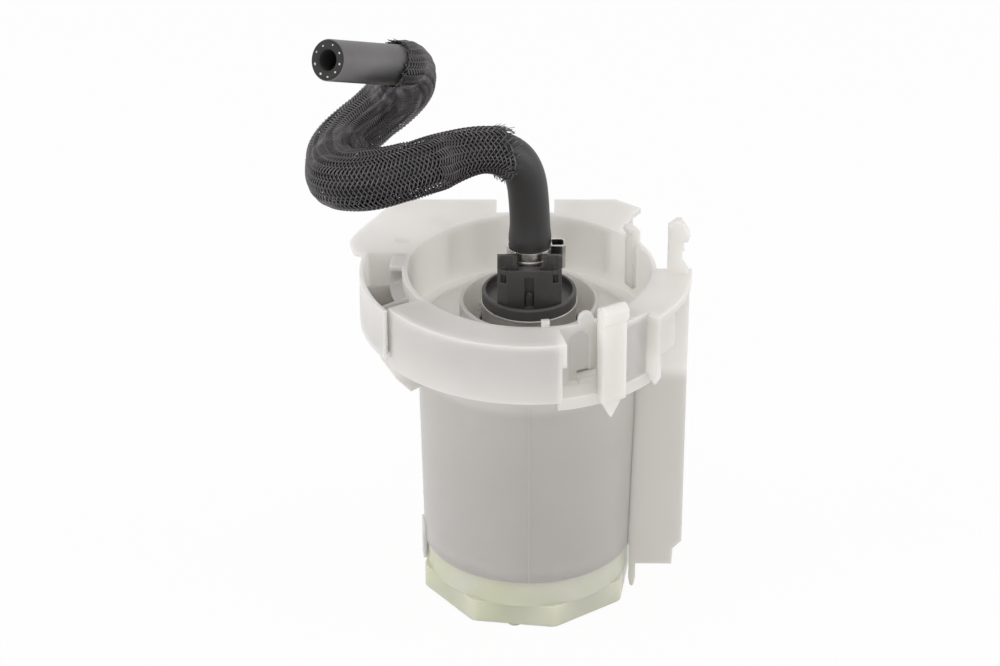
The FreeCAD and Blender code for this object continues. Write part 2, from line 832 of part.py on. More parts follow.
# Pump holder: an outer sleeve on the pot floor, an inner cradle and six webs.
holder_out = size("holder_radius")
holder_in = holder_out - size("holder_wall")
holder_top = rim - size("holder_drop")
cradle_out = size("cradle_radius")
cradle_in = cradle_out - size("cradle_wall")
cradle_low = floor_top + 8.0
cradle_top = holder_top - size("cradle_drop")
lip_inner = size("inlet_offset") + size("inlet_nipple_radius") + 2.9
lip_top = cradle_low + size("cradle_lip")
holder_pieces = [
    ring("Holder_sleeve", holder_in, holder_out, floor_top, holder_top),
    ring("Holder_cradle", cradle_in, cradle_out, cradle_low, cradle_top),
    ring("Cradle_lip", lip_inner, cradle_in + 0.4, cradle_low, lip_top),
]
for index in range(6):
    angle = 20.0 + 60.0 * index
    holder_pieces.append(block(
        f"Holder_web_{index}", cradle_out - 0.4, holder_in + 0.4, -0.8, 0.8, cradle_low, cradle_top - 1.0, angle
    ))
for index, angle in enumerate((60.0, 150.0, 240.0, 330.0)):
    holder_pieces.append(upright(f"Holder_claw_{index}", [
        (cradle_in, cradle_top - 3.0),
        (cradle_out, cradle_top - 3.0),
        (cradle_out, cradle_top + 1.0),
        (cradle_out - 0.8, cradle_top + 1.8),
        (cradle_in, cradle_top + 1.8),
    ], angle, 7.0))
arch_cuts = []
for index in range(3):
    angle = 50.0 + 120.0 * index
    arch_cuts.append(block(
        f"Feed_arch_{index}", holder_in - 2.0, holder_out + 2.0, -6.0, 6.0, floor_top - 1.0, floor_top + 10.0, angle
    ))
holder_cuts = fuse("Feed_arches", arch_cuts)
hand_over("pump_holder", cut("Pump_holder", fuse("Holder_moulding", holder_pieces), holder_cuts))

# Rubber isolators between the holder and the steel casing.
fit = size("isolator_fit")
case_out = size("casing_radius")
lower_cup = new_body("Lower_isolator")
revolve(lower_cup, "Cup", [
    (lip_inner + 0.2, lip_top),
    (cradle_in - fit, lip_top),
    (cradle_in - fit, casing_bottom + 14.0),
    (case_out + fit, casing_bottom + 14.0),
    (case_out + fit, casing_bottom),
    (lip_inner + 0.2, casing_bottom),
])
hand_over("lower_isolator", lower_cup)
band_base = cradle_top - 14.0
band_top = cradle_top - 1.0
upper_band = new_body("Upper_isolator")
revolve(upper_band, "Band", [
    (case_out + fit, band_base),
    (cradle_in - fit, band_base),
    (cradle_in - fit, band_top),
    (case_out + fit, band_top),
])
hand_over("upper_isolator", upper_band)

# Pump casing: the steel tube, turned in at its lower end, rolled out at its top.
bead = size("casing_bead")
lip_radius = casing_bore - size("casing_lip") + 1.0
plate_base = casing_bottom + size("casing_wall")
casing = new_body("Pump_casing")
revolve(casing, "Tube", [
    (lip_radius, casing_bottom),
    (case_out, casing_bottom),
    (case_out, casing_top - 1.3),
    (case_out + bead, casing_top - 0.9),
    (case_out + bead, casing_top - 0.2),
    (case_out + bead - 0.2, casing_top),
    (casing_bore, casing_top),
    (casing_bore, plate_base),
    (lip_radius, plate_base),
])
hand_over("pump_casing", casing)

# Inlet cover: a disc with an off centre nipple and a ring channel on top.
shaft = size("shaft_radius")
cover_joint = plate_base + size("inlet_cover_height")
inlet_x = size("inlet_offset")
nipple_low = casing_bottom - size("inlet_nipple_length")
inlet = new_body("Inlet_cover")
pad(inlet, "Inlet_disc", plate_base, cover_joint, circles=[(0.0, 0.0, inner_fit)])
pad(inlet, "Inlet_nipple", nipple_low, plate_base, circles=[(inlet_x, 0.0, size("inlet_nipple_radius"))])
pocket(inlet, "Inlet_bore", nipple_low, cover_joint, circles=[(inlet_x, 0.0, size("inlet_bore_radius"))])
pocket(inlet, "Inlet_channel", cover_joint - 1.5, cover_joint, circles=[
    (0.0, 0.0, 14.4),
    (0.0, 0.0, 11.4),
])
pocket(inlet, "Shaft_seat", cover_joint - 5.0, cover_joint, circles=[(0.0, 0.0, shaft + gap)])
hand_over("inlet_cover", inlet)

# Inlet screen: a small cap pressed over the nipple.
screen = new_body("Inlet_screen")
pad(screen, "Screen_cap", nipple_low - 1.0, nipple_low + 4.0, circles=[
    (inlet_x, 0.0, size("inlet_nipple_radius") + 1.3),
])
pocket(screen, "Screen_socket", nipple_low, nipple_low + 4.0, circles=[
    (inlet_x, 0.0, size("inlet_nipple_radius") + 0.03),
])
pocket(screen, "Screen_hole", nipple_low - 1.0, nipple_low, circles=[
    (inlet_x, 0.0, 0.6),
    (inlet_x - 2.2, 0.0, 0.6),
    (inlet_x + 2.2, 0.0, 0.6),
    (inlet_x, -2.2, 0.6),
    (inlet_x, 2.2, 0.6),
])
hand_over("inlet_screen", screen)

# Pump body: closes the impeller in and carries the lower bearing.
impeller_room = size("impeller_thick") + size("impeller_gap") * 2.0
body_top = cover_joint + size("pump_body_height")
room_top = cover_joint + impeller_room
room_radius = size("impeller_radius") + size("impeller_rim_gap")
bearing = size("bearing_radius")
bearing_top = room_top + size("bearing_length") + 0.2
middle = new_body("Pump_body")
revolve(middle, "Body_turning", [
    (room_radius, cover_joint),
    (inner_fit, cover_joint),
    (inner_fit, body_top),
    (bearing + 2.4, body_top),
    (bearing + 2.4, bearing_top),
    (bearing, bearing_top),
    (bearing, room_top + 0.2),
    (shaft + 0.6, room_top + 0.2),
    (shaft + 0.6, room_top),
    (room_radius, room_top),
])
pocket(middle, "Body_outlet", room_top, body_top, circles=[(-12.6, 0.0, 2.2)])
hand_over("pump_body", middle)
lower_bearing = new_body("Lower_bearing")
pad(lower_bearing, "Lower_bush", room_top + 0.2, bearing_top, circles=[
    (0.0, 0.0, bearing - 0.01),
    (0.0, 0.0, shaft + gap),
])
hand_over("lower_bearing", lower_bearing)

# Impeller: a disc with slots round its edge, one slot patterned about the axis.
impeller_low = cover_joint + size("impeller_gap")
impeller_top = impeller_low + size("impeller_thick")
wheel = size("impeller_radius")
half_slot = size("vane_slot") / 2.0
impeller = new_body("Impeller")
pad(impeller, "Impeller_disc", impeller_low, impeller_top, circles=[
    (0.0, 0.0, wheel),
    (0.0, 0.0, shaft + 0.02),
])
vane_slot = pocket(impeller, "Vane_slot", impeller_low, impeller_top, outlines=[
    box_outline(wheel - size("vane_depth"), wheel + 1.0, -half_slot, half_slot),
])
polar(impeller, "Vane_slots", vane_slot, size("vane_count"))
hand_over("impeller", impeller)

# Rotor: shaft, slotted core, windings and a flat faced commutator.
core_low = body_top + 8.0
core_top = core_low + size("core_length")
commutator_top = core_top + 16.0
commutator_low = commutator_top - size("commutator_height")
shaft_low = cover_joint - 4.8
upper_bush_low = commutator_top + 2.4
upper_bush_top = upper_bush_low + 5.0
shaft_top = upper_bush_top + 1.0
spindle = new_body("Rotor_shaft")
pad(spindle, "Shaft", shaft_low, shaft_top, circles=[(0.0, 0.0, shaft)])
hand_over("rotor_shaft", spindle)

core_out = size("core_radius")
slot_floor = core_out - size("slot_depth")
slot_side = size("slot_width") / 2.0
core = new_body("Armature_core")
pad(core, "Core_stack", core_low, core_top, circles=[
    (0.0, 0.0, core_out),
    (0.0, 0.0, shaft + 0.02),
])
core_slot = pocket(core, "Core_slot", core_low, core_top, outlines=[
    box_outline(slot_floor, core_out + 1.0, -slot_side, slot_side),
])
polar(core, "Core_slots", core_slot, size("core_slots"))
hand_over("armature_core", core)

winding_rise = size("winding_height")
coils = new_body("Armature_windings")
pad(coils, "Lower_turns", core_low - winding_rise, core_low, circles=[
    (0.0, 0.0, core_out - 0.6),
    (0.0, 0.0, 4.0),
])
pad(coils, "Upper_turns", core_top, core_top + winding_rise, circles=[
    (0.0, 0.0, core_out - 0.6),
    (0.0, 0.0, 4.0),
])
slot_turns = pad(coils, "Slot_turns", core_low - 0.5, core_top + 0.5, outlines=[
    box_outline(slot_floor + 0.1, core_out - 0.6, 0.1 - slot_side, slot_side - 0.1),
])
polar(coils, "Slot_bundles", slot_turns, size("core_slots"))
hand_over("armature_windings", coils)

commutator_out = size("commutator_radius")
commutator = new_body("Commutator")
revolve(commutator, "Commutator_turning", [
    (shaft + 0.02, core_top + 0.2),
    (3.8, core_top + 0.2),
    (3.8, commutator_low),
    (commutator_out, commutator_low),
    (commutator_out, commutator_top),
    (shaft + 0.02, commutator_top),
])
segment_cut = pocket(commutator, "Segment_cut", commutator_top - 1.2, commutator_top, outlines=[
    box_outline(4.6, commutator_out + 1.0, -0.25, 0.25),
])
polar(commutator, "Segment_cuts", segment_cut, size("core_slots"))
hand_over("commutator", commutator)

# Field magnets: two arcs against the casing, kept apart by sprung clips.
magnet_out = inner_fit
magnet_in = magnet_out - size("magnet_thick")
magnet_sweep = size("magnet_sweep")
magnet_low = body_top
magnet_top = magnet_low + size("magnet_length")
for side, middle_angle in (("right", 0.0), ("left", 180.0)):
    arc = ring(
        f"Magnet_{side}", magnet_in, magnet_out, magnet_low, magnet_top, middle_angle - magnet_sweep / 2.0, magnet_sweep
    )
    hand_over(f"field_magnet_{side}", arc)
clip_sweep = 180.0 - magnet_sweep
clip_in = magnet_out - size("clip_thick")
hand_over("magnet_clips", fuse("Magnet_clips", [
    ring("Front_clip", clip_in, magnet_out, magnet_low + 4.0, magnet_top - 4.0, 270.0 - clip_sweep / 2.0, clip_sweep),
    ring("Rear_clip", clip_in, magnet_out, magnet_low + 4.0, magnet_top - 4.0, 90.0 - clip_sweep / 2.0, clip_sweep),
    ring("Clip_hoop", clip_in, magnet_out, magnet_top, magnet_top + 2.0),
    ring("Front_tie", clip_in, magnet_out, magnet_top - 4.5, magnet_top + 1.0, 262.0, 16.0),
    ring("Rear_tie", clip_in, magnet_out, magnet_top - 4.5, magnet_top + 1.0, 82.0, 16.0),
]))

# End cover: spigot in the casing, dished flange, connector block, bearing hub.
flange_top = casing_top + size("cover_flange_height")
dish_floor = casing_top + size("cover_dish_floor")
spigot_low = casing_top - size("cover_spigot")
spigot_bore = size("cover_spigot_bore")
deck = casing_top - 2.8
outlet_seat = upper_bush_top + 4.6
chamber = size("valve_chamber_radius")
outlet_collar = size("outlet_collar_radius")
groove = inner_fit - size("seal_groove")
seal_low = casing_top - 8.0
cap = new_body("End_cover")
revolve(cap, "Cover_turning", [
    (shaft + 0.6, upper_bush_top),
    (shaft + 0.6, outlet_seat),
    (outlet_collar + 0.03, outlet_seat),
    (outlet_collar + 0.03, dish_floor + 1.2),
    (outlet_collar + 1.6, dish_floor + 1.2),
    (outlet_collar + 1.6, dish_floor),
    (case_out - size("cover_rim_wall"), dish_floor),
    (case_out - size("cover_rim_wall"), flange_top),
    (case_out - 0.6, flange_top),
    (case_out, flange_top - 0.6),
    (case_out, casing_top),
    (inner_fit, casing_top),
    (inner_fit, seal_low + 2.4),
    (groove, seal_low + 2.4),
    (groove, seal_low),
    (inner_fit, seal_low),
    (inner_fit, spigot_low),
    (spigot_bore, spigot_low),
    (spigot_bore, deck),
    (bearing + 1.6, deck),
    (bearing + 1.6, upper_bush_low),
    (bearing, upper_bush_low),
    (bearing, upper_bush_top),
])
doc.recompute()
brush_x = size("brush_offset")
brush_half = size("brush_width") / 2.0 + size("brush_fit")
brush_side = size("brush_depth") / 2.0 + size("brush_fit")
guide_low = commutator_top + 0.6
guide_top = deck + 0.4
spring_top = commutator_top + size("brush_length") + size("brush_spring_length")
half = size("connector_half")
front = size("connector_front")
back = front - size("connector_depth")
wall = size("connector_wall")
sill = casing_top + size("connector_sill")
tower_top = casing_top + size("connector_height")
cover_pieces = [cap]
for side, sign in (("right", 1.0), ("left", -1.0)):
    near = brush_x - brush_half - 1.0
    far = brush_x + brush_half + 1.0
    low_x, high_x = (near, far) if sign > 0 else (-far, -near)
    cover_pieces.append(block(
        f"Guide_{side}", low_x, high_x, -(brush_side + 1.0), brush_side + 1.0, guide_low, guide_top
    ))
# The block's front corners are bevelled; ears rise behind the sill.
cover_pieces.append(prism("Connector_front", [
    (-half, -(front - 2.0)),
    (3.8 - half, -front),
    (half - 3.8, -front),
    (half, -(front - 2.0)),
    (half, -back),
    (-half, -back),
], casing_top + 0.6, sill))
notch_half = 5.3
for side, sign in (("right", 1.0), ("left", -1.0)):
    low_x, high_x = (as_size(notch_half), half) if sign > 0 else (-half, as_size(-notch_half))
    side_x = (half - wall, half) if sign > 0 else (-half, wall - half)
    inner_x = (as_size(notch_half), notch_half + wall) if sign > 0 else (-notch_half - wall, as_size(-notch_half))
    cover_pieces.append(block(f"Ear_back_{side}", low_x, high_x, -(back + wall), -back, sill - 4.0, tower_top))
    cover_pieces.append(block(f"Ear_side_{side}", *side_x, -(front - 2.2), -back, sill - 4.0, tower_top))
    cover_pieces.append(block(f"Ear_inner_{side}", *inner_x, -(back + 2.0), -back, sill - 4.0, tower_top))
# A low saddle joins the block to the outlet collar behind it.
cover_pieces.append(block("Saddle", -4.6, 4.6, -(back + 0.6), -(outlet_collar + 0.4), casing_top + 0.6, dish_floor + 3.0))
cover_cuts = []
terminal_x = size("terminal_offset")
blade_half = size("terminal_width") / 2.0
blade_deep = size("terminal_thick") / 2.0
blade_y = front - 2.5
chamber_low = dish_floor + 1.4
for side, sign in (("right", 1.0), ("left", -1.0)):
    centre = terminal_x * sign
    cover_cuts.append(block(
        f"Chamber_{side}", centre - blade_half - 0.5, centre + blade_half + 0.5,
        -(front - 1.2), -(back + 1.0), chamber_low, sill + 1.0
    ))
    cover_cuts.append(block(
        f"Blade_slot_{side}", centre - blade_half - 0.03, centre + blade_half + 0.03,
        -(blade_y + blade_deep + 0.03), -(blade_y - blade_deep - 0.03), deck - 1.0, chamber_low + 1.0
    ))
    window_x = (half - 3.6, half - 1.3) if sign > 0 else (1.3 - half, 3.6 - half)
    cover_cuts.append(block(f"Latch_window_{side}", *window_x, -(front + 1.0), -(front - 3.0), sill - 5.6, sill - 1.9))
    brush_centre = brush_x * sign
    cover_cuts.append(block(
        f"Brush_tunnel_{side}", brush_centre - brush_half, brush_centre + brush_half, -brush_side, brush_side,
        guide_low - 1.0, spring_top
    ))
cover_cuts.append(block("Latch_slot", -2.1, 1.9, -(front + 1.0), -(front - 2.2), dish_floor + 1.6, sill - 3.0))
cover_cuts.append(block("Cross_passage", -1.4, 1.4, -9.0, 9.0, upper_bush_top, upper_bush_top + 2.6))
blocked = cut("Cover_blocked", fuse("Cover_moulding", cover_pieces), fuse("Cover_cuts", cover_cuts))
tongue = upright("Latch_tongue", [
    (-1.3, dish_floor + 1.2),
    (1.1, dish_floor + 1.2),
    (1.1, dish_floor + 7.2),
    (0.5, dish_floor + 8.0),
    (-0.7, dish_floor + 8.0),
    (-1.3, dish_floor + 7.2),
], 0.0, 1.2, -(front - 1.4))
hand_over("end_cover", fuse("End_cover_block", [blocked, tongue]))

seal = new_body("Casing_seal")
pad(seal, "Seal_ring", seal_low + 0.05, seal_low + 2.35, circles=[
    (0.0, 0.0, casing_bore - 0.01),
    (0.0, 0.0, groove + 0.01),
])
hand_over("casing_seal", seal)
upper_bearing = new_body("Upper_bearing")
pad(upper_bearing, "Upper_bush", upper_bush_low, upper_bush_top, circles=[
    (0.0, 0.0, bearing - 0.01),
    (0.0, 0.0, shaft + gap),
])
hand_over("upper_bearing", upper_bearing)


# Coil springs are swept from a round wire along a helix.
def coil_spring(name, radius, wire, low, high, turns, x=0.0):
    helix = doc.addObject("Part::Helix", name + "_helix")
    bind(helix, "Height", high - low - wire * 2.0)
    bind(helix, "Pitch", (high - low - wire * 2.0) / turns)
    bind(helix, "Radius", radius)
    stand(helix, x, 0.0, low + wire)
    doc.recompute()
    edges = [f"Edge{number}" for number in range(1, len(helix.Shape.Edges) + 1)]
    section = doc.addObject("Part::Circle", name + "_section")
    bind(section, "Radius", wire)
    section.Placement.Rotation = FreeCAD.Rotation(FreeCAD.Vector(1, 0, 0), 90)
    bind(section, "Placement.Base.x", radius + x)
    bind(section, "Placement.Base.z", low + wire)
    spring = doc.addObject("Part::Sweep", name)
    spring.Sections = [section]
    spring.Spine = (helix, edges)
    spring.Solid = True
    spring.Frenet = True
    return spring


# Brushes in their tunnels, each pressed on the commutator by a spring.
brush_low = commutator_top + 0.02
brush_top = commutator_top + size("brush_length")
brush_half_width = size("brush_width") / 2.0
brush_half_depth = size("brush_depth") / 2.0
wire = size("spring_wire")
for side, sign in (("right", 1.0), ("left", -1.0)):
    centre = brush_x * sign
    hand_over(f"brush_{side}", block(
        f"Brush_{side}", centre - brush_half_width, centre + brush_half_width,
        -brush_half_depth, brush_half_depth, brush_low, brush_top
    ))
    hand_over(f"brush_spring_{side}", coil_spring(
        f"Brush_spring_{side}", brush_half_width - 0.5, wire, brush_top, spring_top, 5.0, centre
    ))

# Terminals: blades standing in the connector's chambers.
blade_low = deck - 1.0
for side, sign in (("right", 1.0), ("left", -1.0)):
    centre = terminal_x * sign
    blade = prism(f"Blade_{side}", [
        (centre - blade_half, -(blade_y + blade_deep)),
        (centre + blade_half, -(blade_y + blade_deep)),
        (centre + blade_half, -(blade_y - blade_deep)),
        (centre - blade_half, -(blade_y - blade_deep)),
    ], blade_low, sill - 0.6)
    hand_over(f"terminal_{side}", blade)

# Outlet pipe: a collar in the cover, a check valve chamber and a barbed spout.
chamber_top = outlet_seat + 11.0
collar_top = dish_floor + 2.8
spout = size("outlet_radius")
spout_bore = size("outlet_bore_radius")
spout_top = outlet_seat + size("outlet_length")
outlet = new_body("Outlet_pipe")
revolve(outlet, "Outlet_turning", [
    (chamber, outlet_seat),
    (outlet_collar, outlet_seat),
    (outlet_collar, collar_top),
    (spout, collar_top + 1.6),
    (spout, spout_top - 8.4),
    (spout + 0.25, spout_top - 8.0),
    (spout, spout_top - 5.6),
    (spout, spout_top - 3.4),
    (spout + 0.25, spout_top - 3.0),
    (spout - 0.4, spout_top),
    (spout_bore, spout_top),
    (spout_bore, chamber_top),
    (chamber, chamber_top),
])
hand_over("outlet_pipe", outlet)

# Check valve: a poppet on the outlet seat with its spring.
poppet_out = size("poppet_radius")
poppet_top = outlet_seat + 1.8
poppet = new_body("Check_valve_poppet")
revolve(poppet, "Poppet_turning", [
    (0.0, outlet_seat - 1.0),
    (1.2, outlet_seat - 1.0),
    (2.3, outlet_seat),
    (poppet_out, outlet_seat),
    (poppet_out, poppet_top),
    (1.3, poppet_top),
    (1.1, poppet_top + 4.5),
    (0.0, poppet_top + 4.5),
])
hand_over("check_valve_poppet", poppet)
hand_over("check_valve_spring", coil_spring(
    "Check_spring", poppet_out - 0.6, wire, poppet_top, chamber_top, 5.0
))

# Outlet hose: straight runs joined by tangent arcs, as one wire. The first
# point is the foot of the hose over the spout, the last its bare end.
HOSE_ROUTE = [
    (0.0, 0.0, 144.6),
    (0.3, 0.0, 158.0),
    (0.0, 0.0, 172.0),
    (-1.5, -2.5, 187.5),
    (-7.0, -6.0, 197.5),
    (-18.0, -9.5, 202.0),
    (-35.5, -13.0, 199.5),
    (-46.0, -22.0, 199.5),
    (-62.0, -26.0, 196.0),
    (-74.0, -19.0, 193.0),
    (-78.5, -4.5, 189.5),
    (-78.5, 10.5, 193.0),
    (-66.5, 21.5, 199.5),
    (-53.0, 24.5, 208.0),
    (-45.5, 18.5, 220.5),
    (-48.0, 7.0, 230.5),
    (-50.5, -7.0, 236.0),
    (-65.0, -20.0, 243.0),
    (-76.5, -34.5, 250.5),
]
BEND_SHARE = 0.45


def bend_at(before, corner, after):
    run_in = corner - before
    run_out = after - corner
    half_turn = run_in.getAngle(run_out) / 2.0
    reach_along = BEND_SHARE * min(run_in.Length, run_out.Length)
    radius = reach_along / math.tan(half_turn)
    into = FreeCAD.Vector(run_in).normalize()
    out_of = FreeCAD.Vector(run_out).normalize()
    start = corner - into * reach_along
    finish = corner + out_of * reach_along
    inward = (out_of - into).normalize()
    middle = corner + inward * (radius / math.cos(half_turn) - radius)
    return start, middle, finish, radius


def route_wire(points):
    edges = []
    radii = []
    place = points[0]
    for index in range(1, len(points) - 1):
        start, middle, finish, radius = bend_at(points[index - 1], points[index], points[index + 1])
        edges.append(Part.LineSegment(place, start).toShape())
        edges.append(Part.Arc(start, middle, finish).toShape())
        radii.append(radius)
        place = finish
    edges.append(Part.LineSegment(place, points[-1]).toShape())
    return Part.Wire(edges), radii


def swept_rod(route, first, second, radius):
    face_edge = Part.makeCircle(radius, first, second - first)
    return route.makePipeShell([Part.Wire([face_edge])], True, False)


def swept_tube(points, inner, outer):
    route, radii = route_wire(points)
    skin = swept_rod(route, points[0], points[1], outer)
    bore = swept_rod(route, points[0], points[1], inner)
    return skin.cut(bore), route.Length, radii


hose_points = [FreeCAD.Vector(*point) for point in HOSE_ROUTE]
hose_out = size("hose_radius")
hose_bore = size("hose_bore_radius")
hose_shape, hose_length, hose_radii = swept_tube(hose_points, hose_bore.value, hose_out.value)
hose = doc.addObject("Part::Feature", "Outlet_hose")
hose.Shape = hose_shape
hand_over("outlet_hose", hose)
section = math.pi * (hose_out.value ** 2 - hose_bore.value ** 2)
print("bend radii", [round(radius, 1) for radius in hose_radii])
print("hose length", round(hose_length, 1), "volume ratio", round(hose_shape.Volume / (section * hose_length), 4))

# Braided sleeve: follows the hose from the middle of its fifth run to the
# middle of its sixteenth.
covered = hose_points[4:17]
sleeve_start = (covered[0] + covered[1]) * 0.5
sleeve_end = (covered[-2] + covered[-1]) * 0.5
sleeve_points = [sleeve_start, *covered[1:-1], sleeve_end]
sleeve_bore = hose_out + size("sleeve_gap")
sleeve_out = size("sleeve_radius")
sleeve_shape, sleeve_length, sleeve_radii = swept_tube(sleeve_points, sleeve_bore.value, sleeve_out.value)
sleeve = doc.addObject("Part::Feature", "Hose_sleeve")
sleeve.Shape = sleeve_shape
hand_over("hose_sleeve", sleeve)
sleeve_section = math.pi * (sleeve_out.value ** 2 - sleeve_bore.value ** 2)
print("sleeve length", round(sleeve_length, 1), "volume ratio",
      round(sleeve_shape.Volume / (sleeve_section * sleeve_length), 4))

# Hose clamp: a band with a folded ear on the right and a lapped tongue.
clamp_in = hose_out + size("clamp_gap")
clamp_out = clamp_in + size("clamp_thick")
clamp_low = size("clamp_foot") + HOSE_ROUTE[0][2]
clamp_top = clamp_low + size("clamp_height")
ear_reach = size("clamp_ear_reach")
ear_side = 3.4
thick = size("clamp_thick")
ear_shell = prism("Ear_shell", [
    (clamp_in + 0.2, -ear_side),
    (ear_reach - 1.2, -(ear_side + 0.2)),
    (ear_reach, -(ear_side - 0.8)),
    (ear_reach, ear_side - 1.6),
    (ear_reach - 1.6, ear_side),
    (clamp_in + 0.2, ear_side),
], clamp_low, clamp_top + 1.0)
ear_hollow = prism("Ear_hollow", [
    (clamp_in - 0.4, thick - ear_side),
    (ear_reach - 1.6, thick - ear_side),
    (ear_reach - thick, thick + 0.6 - ear_side),
    (ear_reach - thick, ear_side - 2.0),
    (ear_reach - 1.9, ear_side - thick),
    (clamp_in - 0.4, ear_side - thick),
], clamp_low + 0.8, clamp_top + 2.0)
hose_room = cylinder("Hose_room", clamp_in, clamp_low - 1.0, clamp_top + 3.0)
clamp_body = fuse("Clamp_pieces", [
    cylinder("Clamp_band", clamp_out, clamp_low, clamp_top),
    cylinder("Clamp_bead", clamp_out + 0.4, clamp_top - 4.6, clamp_top - 3.8),
    cut("Clamp_ear", ear_shell, ear_hollow),
])
hand_over("hose_clamp", cut("Hose_clamp", clamp_body, hose_room))

# Every object must be sound before the pieces are written out.
doc.recompute()
for item in doc.Objects:
    if "Invalid" in item.State or "Error" in item.State:
        raise RuntimeError(f"{item.Label} did not build")
for node, item in finished.items():
    shape = item.Shape
    if shape.isNull() or not shape.isValid() or shape.Volume <= 0.0:
        raise RuntimeError(f"{node} has no sound solid")
    if len(shape.Solids) != 1:
        print(node, "has", len(shape.Solids), "solids")
    shape.exportStep(f"parts/{node}.step")
print(len(finished), "pieces written")
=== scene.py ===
# %% [markdown]
# # An in tank fuel pump module
#
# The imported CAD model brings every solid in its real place. This lesson gives
# those solids their looks. It remakes in mesh code what a CAD kernel draws too
# plainly or too stiffly: the rubber hose, its braided sleeve and three springs.

import math
import random

import bpy
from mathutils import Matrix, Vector


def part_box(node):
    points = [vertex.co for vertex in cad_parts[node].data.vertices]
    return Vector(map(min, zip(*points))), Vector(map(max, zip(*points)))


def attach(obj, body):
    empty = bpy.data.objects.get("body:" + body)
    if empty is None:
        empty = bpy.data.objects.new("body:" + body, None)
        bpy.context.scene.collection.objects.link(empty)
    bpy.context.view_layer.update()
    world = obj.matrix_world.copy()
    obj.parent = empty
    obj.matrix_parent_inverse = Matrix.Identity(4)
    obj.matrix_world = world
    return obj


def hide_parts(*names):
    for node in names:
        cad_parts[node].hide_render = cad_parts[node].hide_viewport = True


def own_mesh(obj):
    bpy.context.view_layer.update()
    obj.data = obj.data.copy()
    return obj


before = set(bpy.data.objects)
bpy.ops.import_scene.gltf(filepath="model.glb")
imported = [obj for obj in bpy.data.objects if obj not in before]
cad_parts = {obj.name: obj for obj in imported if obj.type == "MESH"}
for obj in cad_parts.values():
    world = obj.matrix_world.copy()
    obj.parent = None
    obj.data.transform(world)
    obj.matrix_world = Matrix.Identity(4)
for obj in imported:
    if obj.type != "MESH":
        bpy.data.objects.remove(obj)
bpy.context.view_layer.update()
MODULE = "module"
MM = 0.001

# %% [markdown]
# ## The camera
#
# The photograph was taken with a long lens from above the rim, looking down by
# a little less than 29 degrees. The camera comes first, because the hose is
# checked against what it sees.

# %% Camera
LENS_MM = 122.4
LOOK_DOWN_DEGREES = 28.7
camera_data = bpy.data.cameras.new("photo_camera")
camera_data.sensor_width = 36.0
camera_data.lens = LENS_MM
camera = bpy.data.objects.new("photo_camera", camera_data)
camera.location = (-0.0117, -1.2053, 0.7745)
camera.rotation_euler = (math.radians(90.0 - LOOK_DOWN_DEGREES), 0.0, 0.0)
bpy.context.scene.collection.objects.link(camera)
bpy.context.scene.camera = camera
print("camera lens", camera_data.lens)

# %% [markdown]
# ## The line of the hose
#
# A formed hose keeps the shape of the mandrel that it was cured on. Its line is
# one NURBS spline through the same route as the CAD tube, and every part that
# follows the hose reads its points from that spline.

# %% Route of the hose
HOSE_ROUTE_MM = [
    (0.0, 0.0, 144.6),
    (0.3, 0.0, 158.0),
    (0.0, 0.0, 172.0),
    (-1.5, -2.5, 187.5),
    (-7.0, -6.0, 197.5),
    (-18.0, -9.5, 202.0),
    (-35.5, -13.0, 199.5),
    (-46.0, -22.0, 199.5),
    (-62.0, -26.0, 196.0),
    (-74.0, -19.0, 193.0),
    (-78.5, -4.5, 189.5),
    (-78.5, 10.5, 193.0),
    (-66.5, 21.5, 199.5),
    (-53.0, 24.5, 208.0),
    (-45.5, 18.5, 220.5),
    (-48.0, 7.0, 230.5),
    (-50.5, -7.0, 236.0),
    (-65.0, -20.0, 243.0),
    (-76.5, -34.5, 250.5),
]


def spline_points(route_mm):
    curve = bpy.data.curves.new("route", "CURVE")
    curve.dimensions = "3D"
    curve.resolution_u = 16
    spline = curve.splines.new("NURBS")
    spline.points.add(len(route_mm) - 1)
    for point, place in zip(spline.points, route_mm):
        point.co = (*(value * MM for value in place), 1.0)
    spline.order_u = 3
    spline.use_endpoint_u = True
    holder = bpy.data.objects.new("route", curve)
    mesh = bpy.data.meshes.new_from_object(holder)
    points = [vertex.co.copy() for vertex in mesh.vertices]
    bpy.data.meshes.remove(mesh)
    bpy.data.objects.remove(holder)
    bpy.data.curves.remove(curve)
    return points


def running_lengths(points):
    lengths = [0.0]
    for before, after in zip(points, points[1:]):
        lengths.append(lengths[-1] + (after - before).length)
    return lengths


hose_line = spline_points(HOSE_ROUTE_MM)
print("points on the hose", len(hose_line), "length", round(running_lengths(hose_line)[-1], 4))

# %% [markdown]
# ## Frames along the line
#
# A tube needs a steady pair of side directions at each point. Carrying the first
# pair along without any twist keeps seams and braid from spinning in the bends.


